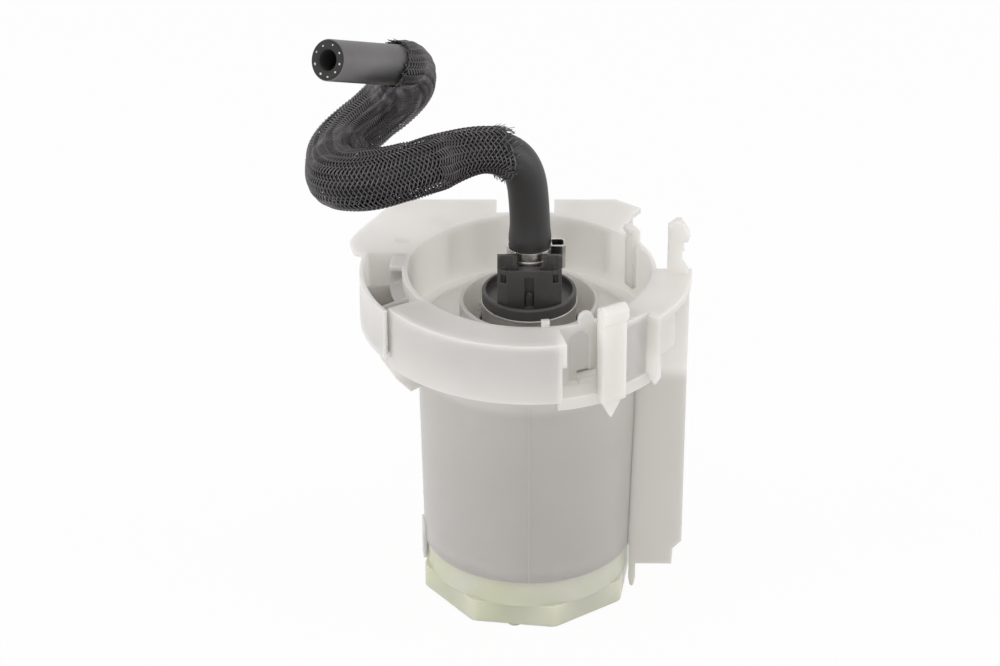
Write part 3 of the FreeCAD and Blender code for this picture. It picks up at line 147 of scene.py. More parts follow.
# %% Places along a line
class Line:
    def __init__(self, points):
        self.points = points
        self.lengths = running_lengths(points)
        self.total = self.lengths[-1]
        self.tangents = []
        for index in range(len(points)):
            before = points[max(index - 1, 0)]
            after = points[min(index + 1, len(points) - 1)]
            self.tangents.append((after - before).normalized())
        side = self.tangents[0].cross(Vector((0.0, 1.0, 0.0))).normalized()
        self.sides = []
        for tangent in self.tangents:
            side = (side - tangent * side.dot(tangent)).normalized()
            self.sides.append(side.copy())

    def at(self, distance):
        """The point, side, other side and tangent at a distance along the line."""
        distance = min(max(distance, 0.0), self.total)
        low, high = 0, len(self.points) - 1
        while high - low > 1:
            middle = (low + high) // 2
            if self.lengths[middle] <= distance:
                low = middle
            else:
                high = middle
        span = self.lengths[high] - self.lengths[low]
        share = (distance - self.lengths[low]) / span if span > 0.0 else 0.0
        place = self.points[low].lerp(self.points[high], share)
        tangent = self.tangents[low].lerp(self.tangents[high], share).normalized()
        side = self.sides[low].lerp(self.sides[high], share)
        side = (side - tangent * side.dot(tangent)).normalized()
        return place, side, tangent.cross(side), tangent


hose_path = Line(hose_line)
print("line length", round(hose_path.total, 4))

# %% Making a piece


def new_piece(name, vertices, faces, smooth=True):
    mesh = bpy.data.meshes.new(name)
    mesh.from_pydata(vertices, [], faces)
    mesh.update()
    if smooth:
        for polygon in mesh.polygons:
            polygon.use_smooth = True
    piece = bpy.data.objects.new(name, mesh)
    bpy.context.scene.collection.objects.link(piece)
    return piece


def write_uv(piece, corner_uv):
    layer = piece.data.uv_layers.new(name="along")
    for loop in piece.data.loops:
        layer.data[loop.index].uv = corner_uv[loop.vertex_index]


print("helpers ready: new_piece, write_uv")

# %% [markdown]
# ## The rubber hose
#
# The hose is extruded rubber with yarn inside. The clamp squeezes it and it swells
# a little above the clamp. Its cut end shows a flat ring with the ends of the yarn,
# and the bore runs right through. A mesh of rings along the line gives all of
# that, where a plain curve bevel could not.

# %% Thickness along the hose
HOSE_RADIUS = 8.0 * MM
BORE_RADIUS = 4.0 * MM
SWELL_PLACE = 13.5 * MM
SWELL_REACH = 4.0 * MM
SWELL_HEIGHT = 0.55 * MM
CLAMP_PLACE = 5.5 * MM
CLAMP_REACH = 3.5 * MM
CLAMP_SQUEEZE = 0.10 * MM


def hump(distance, place, reach):
    """One at a place along the hose, sinking smoothly to nought on both sides."""
    return math.exp(-(((distance - place) / reach) ** 2))


def hose_radius_at(distance):
    swell = SWELL_HEIGHT * hump(distance, SWELL_PLACE, SWELL_REACH)
    squeeze = CLAMP_SQUEEZE * hump(distance, CLAMP_PLACE, CLAMP_REACH)
    return HOSE_RADIUS + swell - squeeze


print("radius under the clamp", round(hose_radius_at(CLAMP_PLACE), 5))

# %% Hose mesh
HOSE_SIDES = 48
RING_STEP = 1.6 * MM
END_MARGIN = 2.0 * MM
FIRST_RING = 0.4 * MM
LAST_RING = 0.8 * MM
# The bore, of which only the end is seen, needs fewer rings than the outside.
BORE_RING_EVERY = 3
CUT_EDGE = 0.35 * MM
BORE_EDGE_WIDE = 0.25 * MM
BORE_EDGE_DEEP = 0.3 * MM


def hose_stations():
    """Distances of the outer rings, which lie closer together at both ends."""
    outside = [0.0, FIRST_RING]
    distance = END_MARGIN
    while distance < hose_path.total - END_MARGIN:
        outside.append(distance)
        distance += RING_STEP
    outside += [hose_path.total - LAST_RING, hose_path.total - CUT_EDGE, hose_path.total]
    return outside


def build_hose():
    """Rings up the outside, over the cut end and back down the bore."""
    vertices, faces, rings = [], [], []

    def add_ring(distance, radius):
        place, side, other, _ = hose_path.at(distance)
        first = len(vertices)
        for step in range(HOSE_SIDES):
            turn = 2.0 * math.pi * step / HOSE_SIDES
            vertices.append(place + (side * math.cos(turn) + other * math.sin(turn)) * radius)
        rings.append(first)

    stations = hose_stations()
    for distance in stations:
        radius = hose_radius_at(distance)
        if distance in (stations[0], stations[-1]):
            radius -= CUT_EDGE
        add_ring(distance, radius)
    add_ring(stations[-1], BORE_RADIUS + BORE_EDGE_WIDE)
    add_ring(stations[-1] - BORE_EDGE_DEEP, BORE_RADIUS)
    for distance in reversed(stations[1:-3:BORE_RING_EVERY]):
        add_ring(distance, BORE_RADIUS)
    add_ring(0.0, BORE_RADIUS)
    for index, first in enumerate(rings):
        following = rings[(index + 1) % len(rings)]
        for step in range(HOSE_SIDES):
            beside = (step + 1) % HOSE_SIDES
            faces.append((first + step, first + beside, following + beside, following + step))
    piece = new_piece("rubber_hose", vertices, faces)
    for face in piece.data.polygons:
        face.material_index = int(face.index // HOSE_SIDES >= len(stations) - 1)
    return piece


rubber_hose = build_hose()
print("hose faces", len(rubber_hose.data.polygons))

# %% [markdown]
# ## Yarn ends
#
# Reinforced hose shows its cut yarns as pale dots on the end face. Each is a
# small domed button, a little uneven in size and place as cut yarn is.

# %% Yarn dots on the cut end
YARN_TURNS = [12.0, 55.0, 98.0, 140.0, 176.0, 221.0, 262.0, 301.0, 338.0]
YARN_RING = 6.1 * MM
YARN_SIDES = 10
YARN_STRETCH = 1.25
# Lift of each ring over the cut, in millimetres, and its share of the full size.
YARN_DOME = [(-0.25, 1.0), (0.05, 1.0), (0.16, 0.65)]


def build_yarn():
    dice = random.Random(7)
    place, side, other, tangent = hose_path.at(hose_path.total)
    vertices, faces = [], []
    for turn_degrees in YARN_TURNS:
        turn = math.radians(turn_degrees + dice.uniform(-5.0, 5.0))
        ring = YARN_RING + dice.uniform(-0.3, 0.3) * MM
        out = side * math.cos(turn) + other * math.sin(turn)
        across = tangent.cross(out)
        centre = place + out * ring
        size = dice.uniform(0.32, 0.46) * MM
        first = len(vertices)
        for lift, share in YARN_DOME:
            reach = size * share
            for step in range(YARN_SIDES):
                angle = 2.0 * math.pi * step / YARN_SIDES
                outward_part = out * (math.cos(angle) * reach)
                sideways_part = across * (math.sin(angle) * reach * YARN_STRETCH)
                vertices.append(centre + outward_part + sideways_part + tangent * (lift * MM))
        for level in range(len(YARN_DOME) - 1):
            low = first + level * YARN_SIDES
            high = low + YARN_SIDES
            for step in range(YARN_SIDES):
                beside = (step + 1) % YARN_SIDES
                faces.append((low + step, low + beside, high + beside, high + step))
        top = first + (len(YARN_DOME) - 1) * YARN_SIDES
        faces.append(tuple(top + step for step in range(YARN_SIDES)))
        faces.append(tuple(first + step for step in reversed(range(YARN_SIDES))))
    return new_piece("yarn_ends", vertices, faces)


yarn_ends = build_yarn()
print("yarn dots", len(YARN_TURNS))

# %% [markdown]
# ## The braided sleeve
#
# The sleeve is an expanding braid of stiff plastic yarn. Strands run round the
# hose both ways, and each passes over two and under two, which gives rows of
# slanting bars that lean one way and then the other. Real strands are modelled
# here, since a pattern on a smooth tube would show neither the holes where the
# sleeve hangs off the rubber nor the ragged cut ends.

# %% How loose and how bunched the sleeve lies
LOOSENS = (66.0 * MM, 92.0 * MM)
TIGHTENS = (196.0 * MM, 222.0 * MM)
SPREADS = (60.0 * MM, 105.0 * MM)
FOLD_PLACE = 122.0 * MM
FOLD_REACH = 26.0 * MM
FAR_BUNCH_PLACE = 212.0 * MM
FAR_BUNCH_REACH = 16.0 * MM
FOLD_BUNCH = 0.06
FAR_BUNCH = 0.05
START_STRETCH = 0.12


def smooth_step(low, high, value):
    share = min(max((value - low) / (high - low), 0.0), 1.0)
    return share * share * (3.0 - 2.0 * share)


def looseness_at(distance):
    """Nought where the sleeve hugs the hose, one where it stands off it."""
    return smooth_step(*LOOSENS, distance) * (1.0 - smooth_step(*TIGHTENS, distance))


def bunching_at(distance):
    """How much steeper the strands lie where the sleeve is pushed together."""
    fold = FOLD_BUNCH * hump(distance, FOLD_PLACE, FOLD_REACH)
    far = FAR_BUNCH * hump(distance, FAR_BUNCH_PLACE, FAR_BUNCH_REACH)
    stretched = START_STRETCH * (1.0 - smooth_step(*SPREADS, distance))
    return 1.0 + fold + far - stretched


print("looseness in the fold", round(looseness_at(FOLD_PLACE), 3))

# %% How far the sleeve stands from the hose
CORNER_SPAN = 7.0 * MM
SNUG_RADIUS = 8.8 * MM
SLACK_MM = 0.4
HANG_MM = 2.8
CORNER_CUT_MM = 7.0


def corner_at(distance):
    """Points to the inside of the bend, and is longer where the bend is sharper."""
    _, _, _, before = hose_path.at(distance - CORNER_SPAN)
    _, _, _, after = hose_path.at(distance + CORNER_SPAN)
    return after - before


def sleeve_reach(distance, out, corner):
    """From the middle of the hose to the sleeve: it hangs down and cuts corners."""
    hang = max(0.0, -out.z)
    inside = max(0.0, out.dot(corner))
    slack = SLACK_MM + HANG_MM * hang + CORNER_CUT_MM * inside
    return SNUG_RADIUS + looseness_at(distance) * slack * MM


print("sharpest corner", round(max(corner_at(step * CORNER_SPAN).length for step in range(40)), 3))

# %% Stations and frames of the strands
SLEEVE_START = 58.5 * MM
SLEEVE_END = 235.0 * MM
SPARE_START = 9.0 * MM
SPARE_END = 16.0 * MM
STRANDS = 20
ROW_TURN = 2.0 * math.pi / STRANDS
LEAN_SLOPE = math.tan(math.radians(65.0))
LEAN_RADIUS = 10.0 * MM


def strand_stations():
    """Distances along the hose, two for every crossing of the strands."""
    distances = [SLEEVE_START - SPARE_START]
    rate = LEAN_SLOPE / LEAN_RADIUS
    while distances[-1] < SLEEVE_END + SPARE_END:
        here = distances[-1]
        distances.append(here + 0.25 * ROW_TURN / (rate * bunching_at(here)))
    return distances


strand_frames = [
    (distance, *hose_path.at(distance), corner_at(distance)) for distance in strand_stations()
]
print("frames along the sleeve", len(strand_frames))

# %% Cut ends of the sleeve
NEAR_END_SLANT = 4.5 * MM
FAR_END_SLANT = 9.0 * MM
FAR_END_FACES = Vector((0.0, -0.97, 0.24))


def near_end(out):
    """The cut runs slantwise: later on top of the hose than under it."""
    return SLEEVE_START + NEAR_END_SLANT * out.z


def far_end(out):
    """The sleeve reaches further on the side of the hose that faces forward."""
    return SLEEVE_END + FAR_END_SLANT * max(0.0, out.dot(FAR_END_FACES))


print("sleeve covers", round(SLEEVE_END - SLEEVE_START, 4), "metres of the hose")

# %% Path of one strand
WEAVE_LIFT = 0.30 * MM
FRAY_LEAD = 3.0 * MM
FRAY_REACH = 5.5 * MM


def strand_points(way, strand, dice):
    """Middle point, outward and sideways directions at each station of a strand."""
    fray_out = dice.uniform(0.1, 1.9) * MM
    fray_side = dice.uniform(-0.10, 0.10)
    early = dice.uniform(-4.5, 0.0) * MM
    late = dice.uniform(-0.8, 1.6) * MM
    points = []
    for index, (distance, centre, side, other, tangent, corner) in enumerate(strand_frames):
        crossing = index / 2.0
        row = 2.0 * strand + way * crossing
        lift = way * math.cos(math.pi / 2.0 * (row - 0.5))
        turn = strand * ROW_TURN + way * crossing * ROW_TURN / 2.0
        out = side * math.cos(turn) + other * math.sin(turn)
        free = max(0.0, 1.0 - (distance - near_end(out) + FRAY_LEAD) / FRAY_REACH) ** 2
        turn += fray_side * free
        out = side * math.cos(turn) + other * math.sin(turn)
        round_way = other * math.cos(turn) - side * math.sin(turn)
        if distance < near_end(out) + early or distance > far_end(out) + late:
            continue
        slope = LEAN_SLOPE * bunching_at(distance)
        along = (tangent + round_way * (way * slope)).normalized()
        reach = sleeve_reach(distance, out, corner) + lift * WEAVE_LIFT + fray_out * free
        points.append((centre + out * reach, out, along.cross(out).normalized(), distance))
    return points


print("points on one strand", len(strand_points(1.0, 0, random.Random(0))))

# %% Weave the sleeve
STRAND_HALF = 0.42 * MM
STRAND_RISE = 0.40 * MM
# Places across a strand and heights over it, as shares of the two sizes above.
PROFILE = [(-1.0, 0.0), (-0.62, 0.72), (0.0, 1.0), (0.62, 0.72), (1.0, 0.0)]


def build_sleeve():
    dice = random.Random(11)
    vertices, faces, uv = [], [], []
    for way in (1.0, -1.0):
        for strand in range(STRANDS):
            points = strand_points(way, strand, dice)
            first = len(vertices)
            for middle, out, across, distance in points:
                for share, rise in PROFILE:
                    sideways = across * (STRAND_HALF * share)
                    vertices.append(middle + sideways + out * (STRAND_RISE * rise))
                    uv.append(((share + 1.0) / 2.0, distance / MM))
            wide = len(PROFILE)
            for index in range(len(points) - 1):
                low = first + index * wide
                high = low + wide
                for step in range(wide):
                    beside = (step + 1) % wide
                    faces.append((low + step, low + beside, high + beside, high + step))
            last = first + (len(points) - 1) * wide
            faces.append(tuple(first + step for step in reversed(range(wide))))
            faces.append(tuple(last + step for step in range(wide)))
    piece = new_piece("braided_sleeve", vertices, faces)
    write_uv(piece, uv)
    return piece


braided_sleeve = build_sleeve()
print("braid faces", len(braided_sleeve.data.polygons))

# %% [markdown]
# ## Frayed ends
#
# Where the sleeve was cut, its strands split into single filaments that curl up
# and away. Each filament is a thin three sided thread on a short curved path,
# scattered round both cut ends.

# %% One loose filament
FILAMENT_SIDES = 3
FILAMENT_LEVELS = 5
FILAMENT_RADIUS = 0.20 * MM
FILAMENT_TAPER = 0.4
FILAMENT_LIFT = 0.35 * MM


def add_filament(vertices, faces, uv, distance, turn, length, curl, drift, heading):
    """A thread that runs on along the hose, drifts round it and curls away from it."""
    first = len(vertices)
    for level in range(FILAMENT_LEVELS + 1):
        share = level / FILAMENT_LEVELS
        radius = FILAMENT_RADIUS * (1.0 - FILAMENT_TAPER * share)
        place, side, other, _ = hose_path.at(distance + heading * length * share)
        angle = turn + drift * share
        out = side * math.cos(angle) + other * math.sin(angle)
        round_way = other * math.cos(angle) - side * math.sin(angle)
        reach = sleeve_reach(distance, out, corner_at(distance)) + FILAMENT_LIFT + curl * share ** 2
        middle = place + out * reach
        for step in range(FILAMENT_SIDES):
            spin = 2.0 * math.pi * step / FILAMENT_SIDES
            vertices.append(middle + (out * math.cos(spin) + round_way * math.sin(spin)) * radius)
            uv.append((step / FILAMENT_SIDES, distance / MM))
    for level in range(FILAMENT_LEVELS):
        low = first + level * FILAMENT_SIDES
        high = low + FILAMENT_SIDES
        for step in range(FILAMENT_SIDES):
            beside = (step + 1) % FILAMENT_SIDES
            faces.append((low + step, low + beside, high + beside, high + step))
    faces.append((first + 2, first + 1, first))
    last = first + FILAMENT_LEVELS * FILAMENT_SIDES
    faces.append((last, last + 1, last + 2))


print("faces in a filament", FILAMENT_SIDES * FILAMENT_LEVELS + 2)

# %% Fray both ends
NEAR_FILAMENTS = 130
FAR_FILAMENTS = 90


def outward(distance, turn):
    _, side, other, _ = hose_path.at(distance)
    return side * math.cos(turn) + other * math.sin(turn)


def build_fray():
    dice = random.Random(23)
    vertices, faces, uv = [], [], []
    for _ in range(NEAR_FILAMENTS):
        turn = dice.uniform(0.0, 2.0 * math.pi)
        start = near_end(outward(SLEEVE_START, turn)) + dice.uniform(-1.5, 2.5) * MM
        length = dice.uniform(1.6, 3.8) * MM
        curl = dice.uniform(-0.2, 1.9) * MM
        drift = dice.uniform(-0.35, 0.35)
        add_filament(vertices, faces, uv, start, turn, length, curl, drift, -1.0)
    for _ in range(FAR_FILAMENTS):
        turn = dice.uniform(0.0, 2.0 * math.pi)
        start = far_end(outward(SLEEVE_END, turn)) + dice.uniform(-1.5, 0.5) * MM
        length = dice.uniform(1.2, 3.4) * MM
        curl = dice.uniform(-0.3, 0.9) * MM
        drift = dice.uniform(-0.3, 0.3)
        add_filament(vertices, faces, uv, start, turn, length, curl, drift, 1.0)
    piece = new_piece("frayed_ends", vertices, faces)
    write_uv(piece, uv)
    return piece


frayed_ends = build_fray()
print("filaments", NEAR_FILAMENTS + FAR_FILAMENTS, "faces", len(frayed_ends.data.polygons))

# %% [markdown]
# ## Riding the hose
#
# Everything on the hose rides on the module. The hose and the sleeve replace their
# CAD nodes.

# %% Hose, yarn and sleeve on the module
for piece in (rubber_hose, yarn_ends, braided_sleeve, frayed_ends):
    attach(piece, MODULE)
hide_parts("outlet_hose")
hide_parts("hose_sleeve")
print("hose declared at", round(hose_path.total, 4), "metres")

# %% [markdown]
# ## Coil springs
#
# Two springs press the brushes down and one closes the check valve. Each stands
# between a fixed end above it and a part that slides up into it. Each spring is
# coiled again here as a round wire along a helix that fills the box of its CAD node.

# %% Shape of a coil spring
WIRE_RADIUS = 0.30 * MM
SPRING_TURNS = 5
STEPS_A_TURN = 28
WIRE_SIDES = 10


def build_spring(name, node_name):
    """A coil that fills the box of its CAD node, wire and all."""
    low, high = (Vector(corner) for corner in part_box(node_name))
    coil_radius = (high.x - low.x) / 2.0 - WIRE_RADIUS
    foot = Vector(((low.x + high.x) / 2.0, 0.0, low.z + WIRE_RADIUS))
    rise = high.z - low.z - 2.0 * WIRE_RADIUS
    steps = SPRING_TURNS * STEPS_A_TURN
    vertices, faces = [], []
    for step in range(steps + 1):
        turn = 2.0 * math.pi * step / STEPS_A_TURN
        out = Vector((math.cos(turn), math.sin(turn), 0.0))
        middle = foot + out * coil_radius + Vector((0.0, 0.0, rise * step / steps))
        for corner in range(WIRE_SIDES):
            angle = 2.0 * math.pi * corner / WIRE_SIDES
            lift = Vector((0.0, 0.0, math.sin(angle)))
            vertices.append(middle + (out * math.cos(angle) + lift) * WIRE_RADIUS)
    for step in range(steps):
        near = step * WIRE_SIDES
        further = near + WIRE_SIDES
        for corner in range(WIRE_SIDES):
            beside = (corner + 1) % WIRE_SIDES
            faces.append((near + corner, further + corner, further + beside, near + beside))
    last = steps * WIRE_SIDES
    faces.append(tuple(range(WIRE_SIDES)))
    faces.append(tuple(last + corner for corner in reversed(range(WIRE_SIDES))))
    return new_piece(name, vertices, faces), foot, low.z, high.z


print("wire of a spring is", 2.0 * WIRE_RADIUS / MM, "mm thick")

# %% Coil springs on the module
SPRING_JOINTS = {
    "check_valve_spring": "check_valve_lift",
    "brush_spring_left": "brush_left_slide",
    "brush_spring_right": "brush_right_slide",
}
coil_springs = []
for node_name, joint_name in SPRING_JOINTS.items():
    spring, foot, low_end, fixed_end = build_spring("coil_of_" + node_name, node_name)
    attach(spring, MODULE)
    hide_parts(node_name)
    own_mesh(spring)
    coil_springs.append(spring)

# %% [markdown]
# ## Shared effects
#
# Five effects make up the finishes: a fine grain for the surface, slow clouds of
# tone, rounded edges with a mask that says where those edges are, painted light
# and shade that change with height, and a lighter, warmer tone painted on faces
# that look inward, standing in for light that comes through the plastic walls.
# Each is built once as a node group and takes its own values in each material.

# %% Node group helpers


def new_group(name, inputs, outputs):
    group = bpy.data.node_groups.new(name, "ShaderNodeTree")
    for socket_name, kind, value in inputs:
        socket = group.interface.new_socket(name=socket_name, in_out="INPUT", socket_type=kind)
        socket.default_value = value
    for socket_name, kind in outputs:
        group.interface.new_socket(name=socket_name, in_out="OUTPUT", socket_type=kind)
    start = group.nodes.new("NodeGroupInput")
    end = group.nodes.new("NodeGroupOutput")
    return group, start, end


def add_node(tree, kind, **settings):
    node = tree.nodes.new(kind)
    for key, value in settings.items():
        setattr(node, key, value)
    return node


def maths(tree, operation, first, second=None, clamp=False):
    node = add_node(tree, "ShaderNodeMath", operation=operation, use_clamp=clamp)
    for socket, value in zip(node.inputs, (first, second)):
        if value is None:
            continue
        if isinstance(value, (int, float)):
            socket.default_value = value
        else:
            tree.links.new(value, socket)
    return node.outputs[0]


def object_places(tree):
    return add_node(tree, "ShaderNodeTexCoord").outputs["Object"]


print("helpers ready: new_group, add_node, maths, object_places")

# %% Fine grain


def build_grain():
    group, start, end = new_group(
        "fine_grain",
        [("Scale", "NodeSocketFloat", 900.0), ("Stretch", "NodeSocketVector", (1, 1, 1))],
        [("Height", "NodeSocketFloat")],
    )
    links = group.links
    stretch = add_node(group, "ShaderNodeVectorMath", operation="MULTIPLY")
    links.new(object_places(group), stretch.inputs[0])
    links.new(start.outputs["Stretch"], stretch.inputs[1])
    noise = add_node(group, "ShaderNodeTexNoise")
    noise.inputs["Detail"].default_value = 4.0
    noise.inputs["Roughness"].default_value = 0.6
    links.new(stretch.outputs[0], noise.inputs["Vector"])
    links.new(start.outputs["Scale"], noise.inputs["Scale"])
    links.new(noise.outputs["Fac"], end.inputs["Height"])
    return group


fine_grain = build_grain()
print("group", fine_grain.name)

# %% Clouds of tone


def build_clouds():
    group, start, end = new_group(
        "tone_clouds",
        [
            ("Tone", "NodeSocketColor", (0.5, 0.5, 0.5, 1)),
            ("Other tone", "NodeSocketColor", (0.4, 0.4, 0.4, 1)),
            ("Scale", "NodeSocketFloat", 30.0),
        ],
        [("Color", "NodeSocketColor"), ("Mask", "NodeSocketFloat")],
    )
    links = group.links
    noise = add_node(group, "ShaderNodeTexNoise")
    noise.inputs["Detail"].default_value = 3.0
    links.new(object_places(group), noise.inputs["Vector"])
    links.new(start.outputs["Scale"], noise.inputs["Scale"])
    spread = add_node(group, "ShaderNodeMapRange")
    spread.inputs["From Min"].default_value = 0.35
    spread.inputs["From Max"].default_value = 0.65
    links.new(noise.outputs["Fac"], spread.inputs["Value"])
    mix = add_node(group, "ShaderNodeMix", data_type="RGBA")
    links.new(spread.outputs["Result"], mix.inputs["Factor"])
    links.new(start.outputs["Tone"], mix.inputs[6])
    links.new(start.outputs["Other tone"], mix.inputs[7])
    links.new(mix.outputs[2], end.inputs["Color"])
    links.new(spread.outputs["Result"], end.inputs["Mask"])
    return group


tone_clouds = build_clouds()
print("group", tone_clouds.name)

# %% Rounded edges


def build_edges():
    group, start, end = new_group(
        "rounded_edges",
        [("Radius", "NodeSocketFloat", 0.0006)],
        [("Normal", "NodeSocketVector"), ("Edge", "NodeSocketFloat")],
    )
    links = group.links
    bevel = add_node(group, "ShaderNodeBevel", samples=4)
    links.new(start.outputs["Radius"], bevel.inputs["Radius"])
    geometry = add_node(group, "ShaderNodeNewGeometry")
    facing = add_node(group, "ShaderNodeVectorMath", operation="DOT_PRODUCT")
    links.new(bevel.outputs["Normal"], facing.inputs[0])
    links.new(geometry.outputs["Normal"], facing.inputs[1])
    turned = maths(group, "SUBTRACT", 1.0, facing.outputs["Value"], clamp=True)
    links.new(bevel.outputs["Normal"], end.inputs["Normal"])
    links.new(maths(group, "MULTIPLY", turned, 4.0, clamp=True), end.inputs["Edge"])
    return group


rounded_edges = build_edges()
print("group", rounded_edges.name)

# %% Painted light and shade by height


def build_painted_light_by_height():
    group, start, end = new_group(
        "painted_light_by_height",
        [
            ("Color", "NodeSocketColor", (0.5, 0.5, 0.5, 1)),
            ("Low", "NodeSocketFloat", 0.10),
            ("High", "NodeSocketFloat", 0.11),
            ("Low share", "NodeSocketFloat", 1.0),
            ("High share", "NodeSocketFloat", 1.0),
        ],
        [("Color", "NodeSocketColor")],
    )
    links = group.links
    split = add_node(group, "ShaderNodeSeparateXYZ")
    links.new(object_places(group), split.inputs[0])
    spread = add_node(group, "ShaderNodeMapRange", interpolation_type="SMOOTHSTEP")
    links.new(split.outputs["Z"], spread.inputs["Value"])
    links.new(start.outputs["Low"], spread.inputs["From Min"])
    links.new(start.outputs["High"], spread.inputs["From Max"])
    links.new(start.outputs["Low share"], spread.inputs["To Min"])
    links.new(start.outputs["High share"], spread.inputs["To Max"])
    scale = add_node(group, "ShaderNodeVectorMath", operation="SCALE")
    links.new(start.outputs["Color"], scale.inputs[0])
    links.new(spread.outputs["Result"], scale.inputs["Scale"])
    links.new(scale.outputs[0], end.inputs["Color"])
    return group


painted_light_by_height = build_painted_light_by_height()
print("group", painted_light_by_height.name)

# %% Painted light on inner faces


def build_painted_inner_light():
    group, start, end = new_group(
        "painted_inner_light",
        [
            ("Color", "NodeSocketColor", (0.5, 0.5, 0.5, 1)),
            ("Inner tone", "NodeSocketColor", (0.5, 0.5, 0.4, 1)),
        ],
        [("Color", "NodeSocketColor")],
    )
    links = group.links
    flat = add_node(group, "ShaderNodeVectorMath", operation="MULTIPLY")
    links.new(object_places(group), flat.inputs[0])
    flat.inputs[1].default_value = (1.0, 1.0, 0.0)
    away = add_node(group, "ShaderNodeVectorMath", operation="NORMALIZE")
    links.new(flat.outputs[0], away.inputs[0])
    geometry = add_node(group, "ShaderNodeNewGeometry")
    facing = add_node(group, "ShaderNodeVectorMath", operation="DOT_PRODUCT")
    links.new(away.outputs[0], facing.inputs[0])
    links.new(geometry.outputs["True Normal"], facing.inputs[1])
    inward = maths(group, "MULTIPLY", facing.outputs["Value"], -1.0, clamp=True)
    mix = add_node(group, "ShaderNodeMix", data_type="RGBA")
    links.new(inward, mix.inputs["Factor"])
    links.new(start.outputs["Color"], mix.inputs[6])
    links.new(start.outputs["Inner tone"], mix.inputs[7])
    links.new(mix.outputs[2], end.inputs["Color"])
    return group


painted_inner_light = build_painted_inner_light()
print("group", painted_inner_light.name)

# %% [markdown]
# ## One recipe for hard finishes
#
# Moulded plastic, cast metal and rubber differ in numbers, not in kind: two near
# tones, a roughness, a grain, and a tone painted on the edges, which is a painted
# highlight where it is lighter than the body. One function lays out the nodes, and
# each finish below gives it its numbers.

# %% Finish recipe
ROUGH_SPREAD = 0.08
BUMP_DISTANCE = 0.0002
SOFT_RADIUS = (1.0, 1.0, 1.0)
SOFT_DEPTH = 0.012


def place_group(tree, group, **values):
    node = add_node(tree, "ShaderNodeGroup", node_tree=group)
    for key, value in values.items():
        node.inputs[key.replace("_", " ")].default_value = value
    return node


def hard_finish(
    name, tone, other_tone, rough, metallic=0.0, cloud=30.0, grain=900.0, depth=0.5, stretch=(1, 1, 1),
    edge_radius=0.0005, painted_edge_tone=None, edge_share=0.5, soft=0.0, coat=0.0, shade=None, painted_inner_tone=None,
):
    """Shade, where given, is painted light and shade by height: two heights in metres and the share of
    the tone at each.
    """
    material = bpy.data.materials.new(name)
    material.use_nodes = True
    tree = material.node_tree
    links = tree.links
    shader = tree.nodes["Principled BSDF"]
    clouds = place_group(tree, tone_clouds, Tone=(*tone, 1), Other_tone=(*other_tone, 1), Scale=cloud)
    grains = place_group(tree, fine_grain, Scale=grain, Stretch=stretch)
    edges = place_group(tree, rounded_edges, Radius=edge_radius)
    colour = clouds.outputs["Color"]
    # A tone painted on the edges: a painted highlight where it is lighter than the body.
    if painted_edge_tone is not None:
        mix = add_node(tree, "ShaderNodeMix", data_type="RGBA")
        links.new(maths(tree, "MULTIPLY", edges.outputs["Edge"], edge_share), mix.inputs["Factor"])
        links.new(colour, mix.inputs[6])
        mix.inputs[7].default_value = (*painted_edge_tone, 1)
        colour = mix.outputs[2]
    # Painted light: a lighter, warmer tone on faces that look inward, standing in for light through the
    # walls.
    if painted_inner_tone is not None:
        inner = place_group(tree, painted_inner_light, Inner_tone=(*painted_inner_tone, 1))
        links.new(colour, inner.inputs["Color"])
        colour = inner.outputs["Color"]
    # Painted light and shade: the tone is scaled by a share that changes with height.
    if shade is not None:
        low, high, low_share, high_share = shade
        shading = place_group(
            tree, painted_light_by_height, Low=low, High=high, Low_share=low_share, High_share=high_share,
        )
        links.new(colour, shading.inputs["Color"])
        colour = shading.outputs["Color"]
    links.new(colour, shader.inputs["Base Color"])
    spread = add_node(tree, "ShaderNodeMapRange")
    spread.inputs["To Min"].default_value = rough - ROUGH_SPREAD
    spread.inputs["To Max"].default_value = rough + ROUGH_SPREAD
    links.new(grains.outputs["Height"], spread.inputs["Value"])
    links.new(spread.outputs["Result"], shader.inputs["Roughness"])
    bump = add_node(tree, "ShaderNodeBump")
    bump.inputs["Strength"].default_value = depth
    bump.inputs["Distance"].default_value = BUMP_DISTANCE
    links.new(grains.outputs["Height"], bump.inputs["Height"])
    links.new(edges.outputs["Normal"], bump.inputs["Normal"])
    links.new(bump.outputs["Normal"], shader.inputs["Normal"])
    shader.inputs["Metallic"].default_value = metallic
    shader.inputs["Coat Weight"].default_value = coat
    if soft > 0.0:
        shader.inputs["Subsurface Weight"].default_value = soft
        shader.inputs["Subsurface Radius"].default_value = SOFT_RADIUS
        shader.inputs["Subsurface Scale"].default_value = SOFT_DEPTH
    return material


print("recipe ready: hard_finish")

# %% [markdown]
# ## Plastics of the pot and foot
#
# The pot is natural milky plastic: light soaks in and comes out nearby, so it
# gets some scattering under the surface. The foot is the same kind of plastic
# with a pale yellow-green tint.

# %% Pot, foot and holder
# Painted shade: the pot wall is darker below about 100 mm, standing in for the dark pump seen through the
# thin wall. Its inward faces get a lighter painted tone and its edges a painted highlight.
pot_milk = hard_finish(
    "milky_plastic", (0.81, 0.785, 0.75), (0.78, 0.75, 0.71), 0.34,
    cloud=14.0, grain=420.0, depth=0.10, edge_radius=0.0009, painted_edge_tone=(0.88, 0.87, 0.86),
    edge_share=0.55, soft=1.0, shade=(0.100, 0.108, 0.65, 0.98), painted_inner_tone=(0.91, 0.87, 0.80),
)
